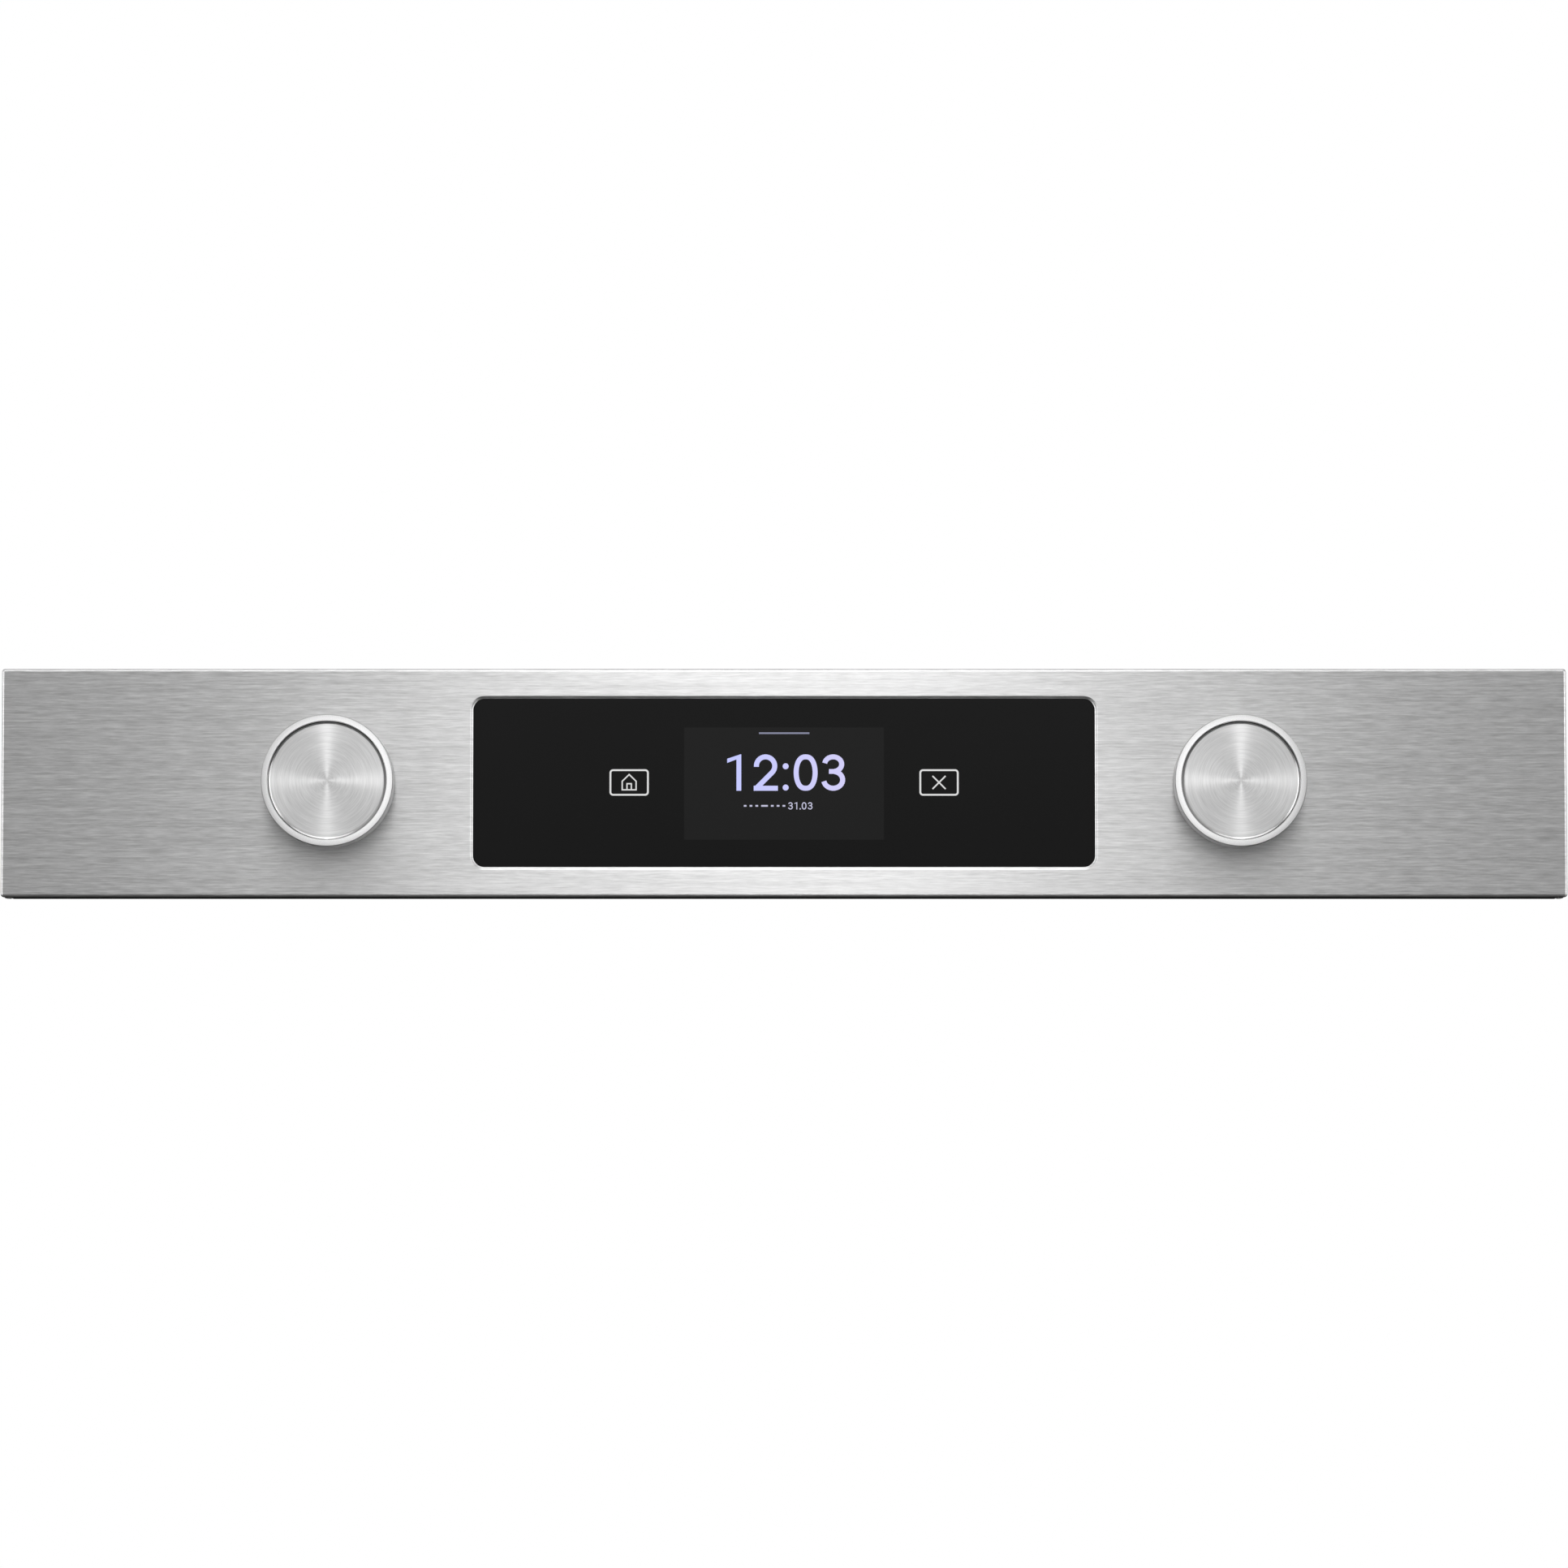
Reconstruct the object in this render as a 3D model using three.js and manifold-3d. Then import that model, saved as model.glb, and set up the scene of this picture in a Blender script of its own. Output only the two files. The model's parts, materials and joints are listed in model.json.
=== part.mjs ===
// Control panel of a 30-inch built-in wall oven: a folded stainless fascia with a glass touch
// display and two push-and-turn knobs, closed behind by a galvanised chassis.
// Millimetres. X runs across the panel, Z is up, and the face looks along -Y.
// The origin is the centre of the chassis's rear face, which lies in the plane Y = 0.
import * as THREE from 'three';
import { RoundedBoxGeometry } from 'three/addons/geometries/RoundedBoxGeometry.js';
import { mergeVertices } from 'three/addons/utils/BufferGeometryUtils.js';
import Module from 'manifold-3d';

const wasm = await Module();
wasm.setup();

// ---- Driving dimensions -------------------------------------------------------------------

const GAP = 0.3; // clearance between neighbouring pieces
const SIDES = { left: -1, right: 1 };
const ENDS = { lower: -1, upper: 1 };

// Fascia: a pan of sheet folded back all round, with lips along the rear of its long returns.
const PANEL_WIDTH = 755.65; // 29 3/4 inches, the face width of a 30-inch wall oven
const PANEL_HEIGHT = 110.3;
const FACE_Y = -50;
const SHEET = 1;
const BEND_RADIUS = 1.5;
const RETURN_DEPTH = 14;
const LIP_WIDTH = 10;
const LIP_BREAK = 344; // length of the middle stretch that has no lips, so the display goes in
const FASCIA_BACK = FACE_Y + SHEET;
const FASCIA_REAR = FACE_Y + RETURN_DEPTH;
const INNER_WIDTH = PANEL_WIDTH - 2 * SHEET;
const INNER_HEIGHT = PANEL_HEIGHT - 2 * SHEET;

// Window for the display glass, with a coined edge that slopes in from the face.
const WINDOW_WIDTH = 300.1;
const WINDOW_HEIGHT = 81.4;
const WINDOW_CORNER = 5.6;
const WINDOW_EDGE = 0.9;

// Glass, the seal in front of it and the housing that carries it.
const GLASS_WIDTH = 310;
const GLASS_HEIGHT = 92;
const GLASS_CORNER = 8;
const GLASS_THICKNESS = 3;
const SEAL_THICKNESS = 0.6;
const SEAL_Y = FASCIA_BACK + 0.15;
const GLASS_Y = SEAL_Y + SEAL_THICKNESS + 0.15;
const GLASS_BACK = GLASS_Y + GLASS_THICKNESS;
const HOUSING_WALL = 2.5;
const HOUSING_REAR = -27;
const CAVITY_WIDTH = 303;
const CAVITY_HEIGHT = 76;
const EAR_X = 168; // distance of the housing's fixing studs from the middle

// Touch keys beside the screen, and the 4.3-inch screen itself.
const KEY_X = 74.8;
const KEY_WIDTH = 19.4;
const KEY_HEIGHT = 13.4;
const KEY_BOARD_WIDTH = 90;
const KEY_BOARD_HEIGHT = 72;
const KEY_BOARD_X = 102;
const SCREEN_WIDTH = 105.5;
const SCREEN_HEIGHT = 67.2;
const SCREEN_DEPTH = 3.5;
const SCREEN_RIM = 2.25;
const STACK_Y = GLASS_BACK + 0.4; // front of everything that lies behind the glass

// Main board, and what stands on it.
const BOARD_THICKNESS = 1.6;
const MAIN_BOARD_Y = -37;
const MAIN_BOARD_REAR = MAIN_BOARD_Y + BOARD_THICKNESS;
const HEADER_X = 60;
const HEADER_Z = -10;
const HEADER_WIDTH = 30;
const HEADER_HEIGHT = 8;
const MAIN_BOARD_WIDTH = 290;
const SOCKET_X = 136;
const SOCKET_Z = -26;
const SOCKET_Y = -32.4; // middle of the encoder sockets and of the leads that leave them

// Knobs, on endless push encoders.
const KNOB_X = 219;
const KNOB_RADIUS = 31.7;
const KNOB_REAR = FACE_Y - 1.5;
const KNOB_FRONT = FACE_Y - 20.5;
const RIM_INNER_RADIUS = 28.4;
const CAP_RADIUS = 28.1;
const CAP_FACE = KNOB_FRONT + 1.9;
const SHAFT_RADIUS = 3;
const SHAFT_REAR = -38.9;
const SHAFT_FRONT = -66;
const SHAFT_FLAT = 1.5; // height of the D flat above the axis
const BUSHING_RADIUS = 4.5;
const BRACKET_Y = -42;
const BRACKET_THICKNESS = 1.2;
const ENCODER_SIZE = 16;
const ENCODER_Y = BRACKET_Y + BRACKET_THICKNESS + GAP;
const ENCODER_REAR = -33.5;

// Rear chassis: a tray with a flange that lies on the fascia's lips.
const CHASSIS_WIDTH = 704;
const CHASSIS_HEIGHT = 84;
const FLANGE_WIDTH = 744;
const FLANGE_HEIGHT = 106;
const FLANGE_Y = FASCIA_REAR + GAP;
const SCREW_X = 345;
const SCREW_Z = 49;
const SCREW_RADIUS = 1.8;
const SCREW_HOLE_RADIUS = 2.1;

// Brackets at the two ends, and the black strip under the fascia.
const END_BRACKET_X = 374.7;
const END_BRACKET_THICKNESS = 2;
const END_BRACKET_FRONT = -48;
const END_FLANGE_WIDTH = 20;
const END_STUD_Y = -42.2;
const END_STUD_Z = 30;
const TRIM_LENGTH = 745.6;
const TRIM_DEPTH = 10.5;
const TRIM_GAP = 0.15;
const TAB_DROP = 0.45; // how far the end tabs and the strip reach below the fascia

// ---- Materials ----------------------------------------------------------------------------

const material = (color, roughness, metalness) =>
  new THREE.MeshStandardMaterial({ color, roughness, metalness });
const STAINLESS = material(0xc9c9c7, 0.34, 1);
const SATIN_METAL = material(0xe2e2e0, 0.28, 1);
const SPUN_METAL = material(0xd6d6d4, 0.3, 1);
const GALVANISED = material(0xa9adb0, 0.5, 1);
const ZINC = material(0xb8babd, 0.4, 1);
const BLACK_PAINT = material(0x121212, 0.6, 0);
const BLACK_PLASTIC = material(0x1b1b1c, 0.55, 0);
const RUBBER = material(0x0d0d0d, 0.85, 0);
const GLASS = material(0x141414, 0.05, 0);
const SCREEN = material(0x232326, 0.15, 0);
const CIRCUIT_BOARD = material(0x1f5a3a, 0.5, 0);
const WHITE_PLASTIC = material(0xe8e8e2, 0.45, 0);
const CHIP = material(0x1a1a1a, 0.5, 0);
const RIBBON = material(0xd8cfb8, 0.5, 0);
const CABLE = material(0x303034, 0.6, 0);

// ---- Solids -------------------------------------------------------------------------------

// A closed geometry as a solid that can be joined and cut.
function solid(geometry) {
  const bare = geometry.index ? geometry.clone() : geometry;
  bare.deleteAttribute('normal');
  bare.deleteAttribute('uv');
  const merged = mergeVertices(bare, 1e-4);
  const vertProperties = new Float32Array(merged.attributes.position.array);
  const triVerts = new Uint32Array(merged.index.array);
  return new wasm.Manifold(new wasm.Mesh({ numProp: 3, vertProperties, triVerts }));
}

// A solid as a geometry that a mesh can show.
function geometryOf(body) {
  const mesh = body.getMesh();
  const geometry = new THREE.BufferGeometry();
  geometry.setAttribute('position', new THREE.BufferAttribute(mesh.vertProperties, 3));
  geometry.setIndex(new THREE.BufferAttribute(mesh.triVerts, 1));
  geometry.computeVertexNormals();
  return geometry;
}

// A block given by its lowest and highest corners.
function block(x0, x1, y0, y1, z0, z1) {
  const geometry = new THREE.BoxGeometry(x1 - x0, y1 - y0, z1 - z0);
  geometry.translate((x0 + x1) / 2, (y0 + y1) / 2, (z0 + z1) / 2);
  return solid(geometry);
}

// A block centred on X and Z, between two depths.
function slab(width, height, y0, y1, x = 0, z = 0) {
  return block(x - width / 2, x + width / 2, y0, y1, z - height / 2, z + height / 2);
}

function roundedRectangle(width, height, radius) {
  const [x, z] = [width / 2, height / 2];
  const shape = new THREE.Shape();
  shape.moveTo(-x + radius, -z);
  shape.lineTo(x - radius, -z);
  shape.absarc(x - radius, -z + radius, radius, -Math.PI / 2, 0);
  shape.lineTo(x, z - radius);
  shape.absarc(x - radius, z - radius, radius, 0, Math.PI / 2);
  shape.lineTo(-x + radius, z);
  shape.absarc(-x + radius, z - radius, radius, Math.PI / 2, Math.PI);
  shape.lineTo(-x, -z + radius);
  shape.absarc(-x + radius, -z + radius, radius, Math.PI, Math.PI * 1.5);
  return shape;
}

// A rounded plate seen from the front, between two depths.
function plate(width, height, radius, y0, y1, x = 0, z = 0) {
  const shape = roundedRectangle(width, height, radius);
  const geometry = new THREE.ExtrudeGeometry(shape, {
    depth: y1 - y0,
    bevelEnabled: false,
    curveSegments: 5,
  });
  geometry.rotateX(Math.PI / 2);
  geometry.translate(x, y1, z);
  return solid(geometry);
}

// A round bar along Y, between two depths.
function bar(radius, y0, y1, x = 0, z = 0, sides = 24) {
  const geometry = new THREE.CylinderGeometry(radius, radius, y1 - y0, sides);
  geometry.translate(x, (y0 + y1) / 2, z);
  return solid(geometry);
}

// A round bar along X, between two distances from the middle, for either side.
function crossBar(radius, x0, x1, y, z, sides = 16) {
  const geometry = new THREE.CylinderGeometry(radius, radius, Math.abs(x1 - x0), sides);
  geometry.rotateZ(Math.PI / 2);
  geometry.translate((x0 + x1) / 2, y, z);
  return solid(geometry);
}

// A body of revolution about Y from [radius, depth] points, closed on the axis or on itself.
function turned(points, sides) {
  const outline = points.map(([radius, y]) => new THREE.Vector2(radius, y));
  if (THREE.ShapeUtils.isClockWise(outline)) {
    outline.reverse();
  }
  return solid(new THREE.LatheGeometry(outline, sides));
}

// An outline in X and Y, extruded along Z between two heights.
function folded(points, z0, z1) {
  const shape = new THREE.Shape(points.map(([x, y]) => new THREE.Vector2(x, y)));
  const geometry = new THREE.ExtrudeGeometry(shape, { depth: z1 - z0, bevelEnabled: false });
  geometry.translate(0, 0, z0);
  return solid(geometry);
}

const joined = (first, ...others) => others.reduce((body, other) => body.add(other), first);
const cut = (first, ...others) => others.reduce((body, other) => body.subtract(other), first);

// ---- The assembly -------------------------------------------------------------------------

const panel = new THREE.Group();

function addPiece(name, body, finish, group = panel) {
  const mesh = new THREE.Mesh(geometryOf(body), finish);
  mesh.name = name;
  group.add(mesh);
  return mesh;
}

// ---- Fascia and what frames it ------------------------------------------------------------

// The window's cutter widens towards the face, so it leaves the coined edge.
function windowCutter() {
  const shape = roundedRectangle(WINDOW_WIDTH, WINDOW_HEIGHT, WINDOW_CORNER);
  const outward = 2;
  const edge = new THREE.ExtrudeGeometry(shape, {
    depth: outward,
    bevelThickness: WINDOW_EDGE,
    bevelSize: WINDOW_EDGE,
    bevelSegments: 2,
    curveSegments: 5,
  });
  edge.rotateX(Math.PI / 2);
  edge.translate(0, FACE_Y, 0);
  const through = plate(
    WINDOW_WIDTH, WINDOW_HEIGHT, WINDOW_CORNER, FACE_Y - outward, FASCIA_BACK + outward);
  return solid(edge).add(through);
}

function fascia() {
  const blankDepth = 2 * RETURN_DEPTH;
  const blank = new RoundedBoxGeometry(PANEL_WIDTH, blankDepth, PANEL_HEIGHT, 3, BEND_RADIUS);
  blank.translate(0, FACE_Y + blankDepth / 2, 0);
  const lipFront = FASCIA_REAR - SHEET;
  const mouthHeight = INNER_HEIGHT - 2 * LIP_WIDTH;
  let body = cut(
    solid(blank),
    slab(2 * PANEL_WIDTH, 2 * PANEL_HEIGHT, FASCIA_REAR, FACE_Y + 2 * blankDepth),
    slab(INNER_WIDTH, INNER_HEIGHT, FASCIA_BACK, lipFront),
    slab(INNER_WIDTH, mouthHeight, lipFront - 1, FASCIA_REAR + 1),
    slab(LIP_BREAK, INNER_HEIGHT, lipFront - 1, FASCIA_REAR + 1),
    windowCutter(),
  );
  for (const side of Object.values(SIDES)) {
    body = joined(body, housingStud(side));
    body = cut(body, bar(7, FACE_Y - 1, FASCIA_BACK + 1, side * KNOB_X), tabNotch(side));
    for (const end of Object.values(ENDS)) {
      const lipHole = bar(
        SCREW_HOLE_RADIUS, lipFront - 1, FASCIA_REAR + 1, side * SCREW_X, end * SCREW_Z, 12);
      body = joined(cut(body, lipHole), endStud(side, end));
    }
  }
  return body;
}

// Stud welded behind the face, for the display housing.
function housingStud(side) {
  return bar(1.5, FASCIA_BACK - 0.2, -25, side * EAR_X, 0, 12);
}

// Stud welded inside an end return, for the end bracket.
function endStud(side, end) {
  const [root, tip] = [INNER_WIDTH / 2 + 0.2, 367.5];
  return crossBar(2, side * root, side * tip, END_STUD_Y, end * END_STUD_Z, 12);
}

// Slot in the lower return that the end bracket's tab passes through.
function tabNotch(side) {
  const half = END_BRACKET_THICKNESS / 2 + GAP;
  const x = side * END_BRACKET_X;
  return block(
    x - half, x + half, END_BRACKET_FRONT - GAP, FASCIA_REAR + 1,
    -PANEL_HEIGHT / 2 - 1, -INNER_HEIGHT / 2 + 0.5);
}

// Thin black strip under the lower return, which darkens the gap above the oven door.
function lowerTrim() {
  const edge = -PANEL_HEIGHT / 2;
  const rear = FASCIA_REAR - 1;
  return block(
    -TRIM_LENGTH / 2, TRIM_LENGTH / 2, rear - TRIM_DEPTH, rear, edge - TAB_DROP, edge - TRIM_GAP);
}

// L-shaped bracket inside an end return: a plate with a tab below and a flange at the rear.
function endBracket(side) {
  const half = END_BRACKET_THICKNESS / 2;
  const height = 2 * (INNER_HEIGHT / 2 - GAP);
  const x = side * END_BRACKET_X;
  const upright = block(x - half, x + half, END_BRACKET_FRONT, 0, -height / 2, height / 2);
  const lowest = -PANEL_HEIGHT / 2 - TAB_DROP;
  const tab = block(x - half, x + half, END_BRACKET_FRONT, FASCIA_REAR - 2, lowest, 0);
  const inner = side * (END_BRACKET_X + half - END_FLANGE_WIDTH);
  const outer = side * (END_BRACKET_X + half);
  const flange = block(
    Math.min(inner, outer), Math.max(inner, outer), -END_BRACKET_THICKNESS, 0,
    -height / 2 + 10, height / 2 - 10);
  // The part of the plate that would meet the lips is cut away.
  const lipRelief = (end) => {
    const [low, high] = [INNER_HEIGHT / 2 - LIP_WIDTH - GAP, PANEL_HEIGHT];
    return block(
      x - 2 * half, x + 2 * half, FASCIA_REAR - SHEET - GAP, 1,
      Math.min(end * low, end * high), Math.max(end * low, end * high));
  };
  let body = cut(joined(upright, tab, flange), lipRelief(-1), lipRelief(1));
  for (const end of Object.values(ENDS)) {
    const studHole = crossBar(
      2.3, side * (END_BRACKET_X - 3), side * (END_BRACKET_X + 3),
      END_STUD_Y, end * END_STUD_Z, 12);
    const screwHole = bar(2.5, -3, 1, side * 365, end * END_STUD_Z, 16);
    body = cut(body, studHole, screwHole);
  }
  return body;
}

// Hexagon nut about X or about Y, with a clearance bore.
function hexNut(acrossFlats, boreRadius, thickness) {
  const corner = acrossFlats / Math.sqrt(3);
  const half = thickness / 2;
  return cut(bar(corner, -half, half, 0, 0, 6), bar(boreRadius, -thickness, thickness, 0, 0, 16));
}

function addFascia() {
  addPiece('fascia', fascia(), STAINLESS);
  addPiece('lower_trim', lowerTrim(), BLACK_PAINT);
  for (const [sideName, side] of Object.entries(SIDES)) {
    addPiece(`end_bracket_${sideName}`, endBracket(side), BLACK_PAINT);
    for (const [endName, end] of Object.entries(ENDS)) {
      const nut = addPiece(`bracket_nut_${sideName}_${endName}`, hexNut(7, 2.3, 3), ZINC);
      const inward = END_BRACKET_X - END_BRACKET_THICKNESS / 2 - GAP - 1.5;
      nut.rotation.z = Math.PI / 2;
      nut.position.set(side * inward, END_STUD_Y, end * END_STUD_Z);
    }
  }
}

// ---- Display ------------------------------------------------------------------------------

function windowGasket() {
  const outer = plate(
    GLASS_WIDTH, GLASS_HEIGHT, GLASS_CORNER, SEAL_Y, SEAL_Y + SEAL_THICKNESS);
  const inner = plate(
    WINDOW_WIDTH + 1.5, WINDOW_HEIGHT + 1.5, WINDOW_CORNER + 0.75,
    SEAL_Y - 1, SEAL_Y + SEAL_THICKNESS + 1);
  return cut(outer, inner);
}

function touchGlass() {
  return plate(GLASS_WIDTH, GLASS_HEIGHT, GLASS_CORNER, GLASS_Y, GLASS_BACK);
}

// Capacitive key board, with a window for its lit symbol.
function keyBoard(side) {
  const rear = STACK_Y + 1.2;
  const board = slab(KEY_BOARD_WIDTH, KEY_BOARD_HEIGHT, STACK_Y, rear, side * KEY_BOARD_X);
  const hole = slab(
    KEY_WIDTH + 2 * GAP, KEY_HEIGHT + 2 * GAP, STACK_Y - 1, rear + 1, side * KEY_X);
  return cut(board, hole);
}

function lightGuide(side) {
  return slab(KEY_WIDTH, KEY_HEIGHT, STACK_Y, MAIN_BOARD_Y - GAP, side * KEY_X);
}

function screenFrame() {
  const pocketWidth = SCREEN_WIDTH - 2 * SCREEN_RIM;
  const pocketHeight = SCREEN_HEIGHT - 2 * SCREEN_RIM;
  return cut(
    slab(SCREEN_WIDTH, SCREEN_HEIGHT, STACK_Y, STACK_Y + SCREEN_DEPTH),
    slab(pocketWidth, pocketHeight, STACK_Y - 1, STACK_Y + SCREEN_DEPTH - 1.2));
}

function screenCell() {
  const rim = 2 * (SCREEN_RIM + GAP);
  const [y0, y1] = [STACK_Y + 0.2, STACK_Y + SCREEN_DEPTH - 1.2 - GAP];
  return slab(SCREEN_WIDTH - rim, SCREEN_HEIGHT - rim, y0, y1);
}

// Moulded housing: a pocket round the glass, a narrower case behind it and two fixing ears.
function displayHousing() {
  const front = SEAL_Y + 0.25;
  const ledge = GLASS_BACK + GAP;
  const step = ledge + HOUSING_WALL;
  const pocket = [GLASS_WIDTH + 1, GLASS_HEIGHT + 1];
  const collar = pocket.map((size) => size + 2 * HOUSING_WALL);
  const casing = [CAVITY_WIDTH + 2 * HOUSING_WALL, CAVITY_HEIGHT + 2 * HOUSING_WALL];
  const ear = (side) => cut(
    slab(22, 16, HOUSING_REAR - 4, HOUSING_REAR - 2, side * (EAR_X - 5)),
    bar(1.8, HOUSING_REAR - 6, HOUSING_REAR, side * EAR_X, 0, 12));
  const hollow = joined(
    plate(...pocket, GLASS_CORNER + 0.5, front - 1, ledge),
    slab(CAVITY_WIDTH, CAVITY_HEIGHT, ledge - 1, HOUSING_REAR - HOUSING_WALL));
  const leadSlots = slab(CAVITY_WIDTH + 20, 9, SOCKET_Y - 3, SOCKET_Y + 2.5, 0, SOCKET_Z);
  const headerHole = slab(
    HEADER_WIDTH + 2, HEADER_HEIGHT + 2, HOUSING_REAR - 6, HOUSING_REAR + 1, HEADER_X, HEADER_Z);
  return cut(
    joined(
      plate(...collar, GLASS_CORNER + 3, front, step),
      plate(...casing, 4, step - 1, HOUSING_REAR),
      ear(-1), ear(1)),
    hollow, leadSlots, headerHole);
}

// Flat flexible cable: out under the screen, round a half turn and back to the main board.
function displayRibbon() {
  const [far, near] = [STACK_Y + SCREEN_DEPTH + GAP, MAIN_BOARD_Y - 1.1];
  const middle = (far + near) / 2;
  const radius = (near - far) / 2;
  const thickness = 0.3;
  const [start, bend, end] = [-16, -34.5, -32.4];
  const arc = (r, from, to) => Array.from({ length: 9 }, (_, step) => {
    const angle = from + ((to - from) * step) / 8;
    return [bend - r * Math.cos(angle), middle + r * Math.sin(angle)];
  });
  const points = [
    [start, far], ...arc(radius, -Math.PI / 2, Math.PI / 2), [end, near],
    [end, near - thickness], ...arc(radius - thickness, Math.PI / 2, -Math.PI / 2),
    [start, far + thickness],
  ];
  const shape = new THREE.Shape(points.map(([z, y]) => new THREE.Vector2(y, z)));
  const width = 28;
  const geometry = new THREE.ExtrudeGeometry(shape, { depth: width, bevelEnabled: false });
  geometry.applyMatrix4(new THREE.Matrix4().makeBasis(
    new THREE.Vector3(0, 1, 0), new THREE.Vector3(0, 0, 1), new THREE.Vector3(1, 0, 0)));
  geometry.translate(-width / 2, 0, 0);
  return solid(geometry);
}

function addDisplay() {
  addPiece('window_gasket', windowGasket(), RUBBER);
  addPiece('touch_glass', touchGlass(), GLASS);
  addPiece('screen_frame', screenFrame(), ZINC);
  addPiece('screen_cell', screenCell(), SCREEN);
  addPiece('display_housing', displayHousing(), BLACK_PLASTIC);
  addPiece('display_ribbon', displayRibbon(), RIBBON);
  for (const [sideName, side] of Object.entries(SIDES)) {
    addPiece(`key_board_${sideName}`, keyBoard(side), CIRCUIT_BOARD);
    addPiece(`light_guide_${sideName}`, lightGuide(side), WHITE_PLASTIC);
    const nut = addPiece(`housing_nut_${sideName}`, hexNut(5.5, 1.8, 2.4), ZINC);
    nut.position.set(side * EAR_X, HOUSING_REAR - 2 + GAP + 1.2, 0);
  }
}

// ---- Main board ---------------------------------------------------------------------------

function addMainBoard() {
  const rear = MAIN_BOARD_REAR + GAP;
  const board = slab(MAIN_BOARD_WIDTH, KEY_BOARD_HEIGHT, MAIN_BOARD_Y, MAIN_BOARD_REAR);
  addPiece('main_board', board, CIRCUIT_BOARD);
  addPiece('processor', slab(20, 20, rear, rear + 1.6, 0, 6), CHIP);
  addPiece('buzzer', bar(6, rear, rear + 5, -60, 12), BLACK_PLASTIC);
  const ribbonSocket = slab(30, 4, MAIN_BOARD_Y - GAP - 1.8, MAIN_BOARD_Y - GAP, 0, -30);
  addPiece('ribbon_socket', ribbonSocket, WHITE_PLASTIC);
  const header = slab(HEADER_WIDTH, HEADER_HEIGHT, rear, -24, HEADER_X, HEADER_Z);
  const headerHollow = slab(
    HEADER_WIDTH - 3, HEADER_HEIGHT - 2.4, rear + 3, -20, HEADER_X, HEADER_Z);
  addPiece('harness_header', cut(header, headerHollow), WHITE_PLASTIC);
  for (const [sideName, side] of Object.entries(SIDES)) {
    const socket = slab(8, 7, rear, SOCKET_Y + 2.2, side * SOCKET_X, SOCKET_Z);
    addPiece(`encoder_socket_${sideName}`, socket, WHITE_PLASTIC);
  }
}

// ---- Knobs and encoders -------------------------------------------------------------------

// Hat-shaped steel bracket, spot-welded behind the fascia.
function encoderBracket() {
  const [reach, foot, t] = [24, 34, BRACKET_THICKNESS];
  const back = FASCIA_BACK + GAP;
  const plateRear = BRACKET_Y + t;
  const half = [
    [foot, back], [foot, back + t], [reach, back + t], [reach, plateRear],
  ];
  const inner = [[reach - t, BRACKET_Y], [reach - t, back]];
  const mirror = ([x, y]) => [-x, y];
  const outline = [
    ...half, ...half.map(mirror).reverse(), ...inner.map(mirror).reverse(), ...inner,
  ];
  return cut(folded(outline, -18, 18), bar(BUSHING_RADIUS + GAP, BRACKET_Y - 1, plateRear + 1));
}

// Encoder: a square case with a threaded bushing in front, bored for the shaft.
function encoderBody() {
  const bushingFront = -46.2;
  const sliderRoom = bar(5, -39.6, -34.7);
  return cut(
    joined(
      slab(ENCODER_SIZE, ENCODER_SIZE, ENCODER_Y, ENCODER_REAR),
      bar(BUSHING_RADIUS, bushingFront, ENCODER_Y + 0.2)),
    bar(SHAFT_RADIUS + 0.2, bushingFront - 1, -39), sliderRoom);
}

// Rubber collar in the fascia's hole, which keeps splashes off the encoder.
function shaftSeal() {
  const [bore, neck, collar] = [SHAFT_RADIUS + GAP, 6.7, 9];
  return turned([
    [bore, FACE_Y], [neck, FACE_Y], [neck, FASCIA_BACK + GAP], [collar, FASCIA_BACK + GAP],
    [collar, -47], [bore, -47], [bore, FACE_Y],
  ], 24);
}

// Shaft of the encoder, with a flat along the stretch that the knob grips.
function encoderShaft() {
  const flatRear = -54;
  const flat = block(-5, 5, SHAFT_FRONT - 1, flatRear, SHAFT_FLAT, 5);
  return cut(bar(SHAFT_RADIUS, SHAFT_FRONT, SHAFT_REAR), flat);
}

// Disc inside the encoder that the shaft pushes against the switch when the knob is pressed.
function encoderSlider() {
  return bar(4.6, SHAFT_REAR + GAP, SHAFT_REAR + GAP + 1.5);
}

// Spring clip between the shaft's flat and the knob's bore.
function knobClip() {
  return block(-2, 2, -64, -55, SHAFT_FLAT + GAP, SHAFT_FLAT + GAP + 0.5);
}

// Moulded core: a hub on the shaft, a web behind the cap and a sleeve inside the ring.
function knobCore() {
  const [hub, bore, sleeveInner, sleeveOuter] = [8, SHAFT_RADIUS + GAP, 26.4, 28.9];
  const [webFront, webRear, hubRear, sleeveRear] = [-66.3, -63.8, -53, -55];
  return cut(
    turned([
      [0, webFront], [sleeveOuter, webFront], [sleeveOuter, sleeveRear],
      [sleeveInner, sleeveRear], [sleeveInner, webRear], [hub, webRear],
      [hub, hubRear], [0, hubRear],
    ], 40),
    bar(bore, SHAFT_FRONT - GAP / 2, hubRear + 1));
}

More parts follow.
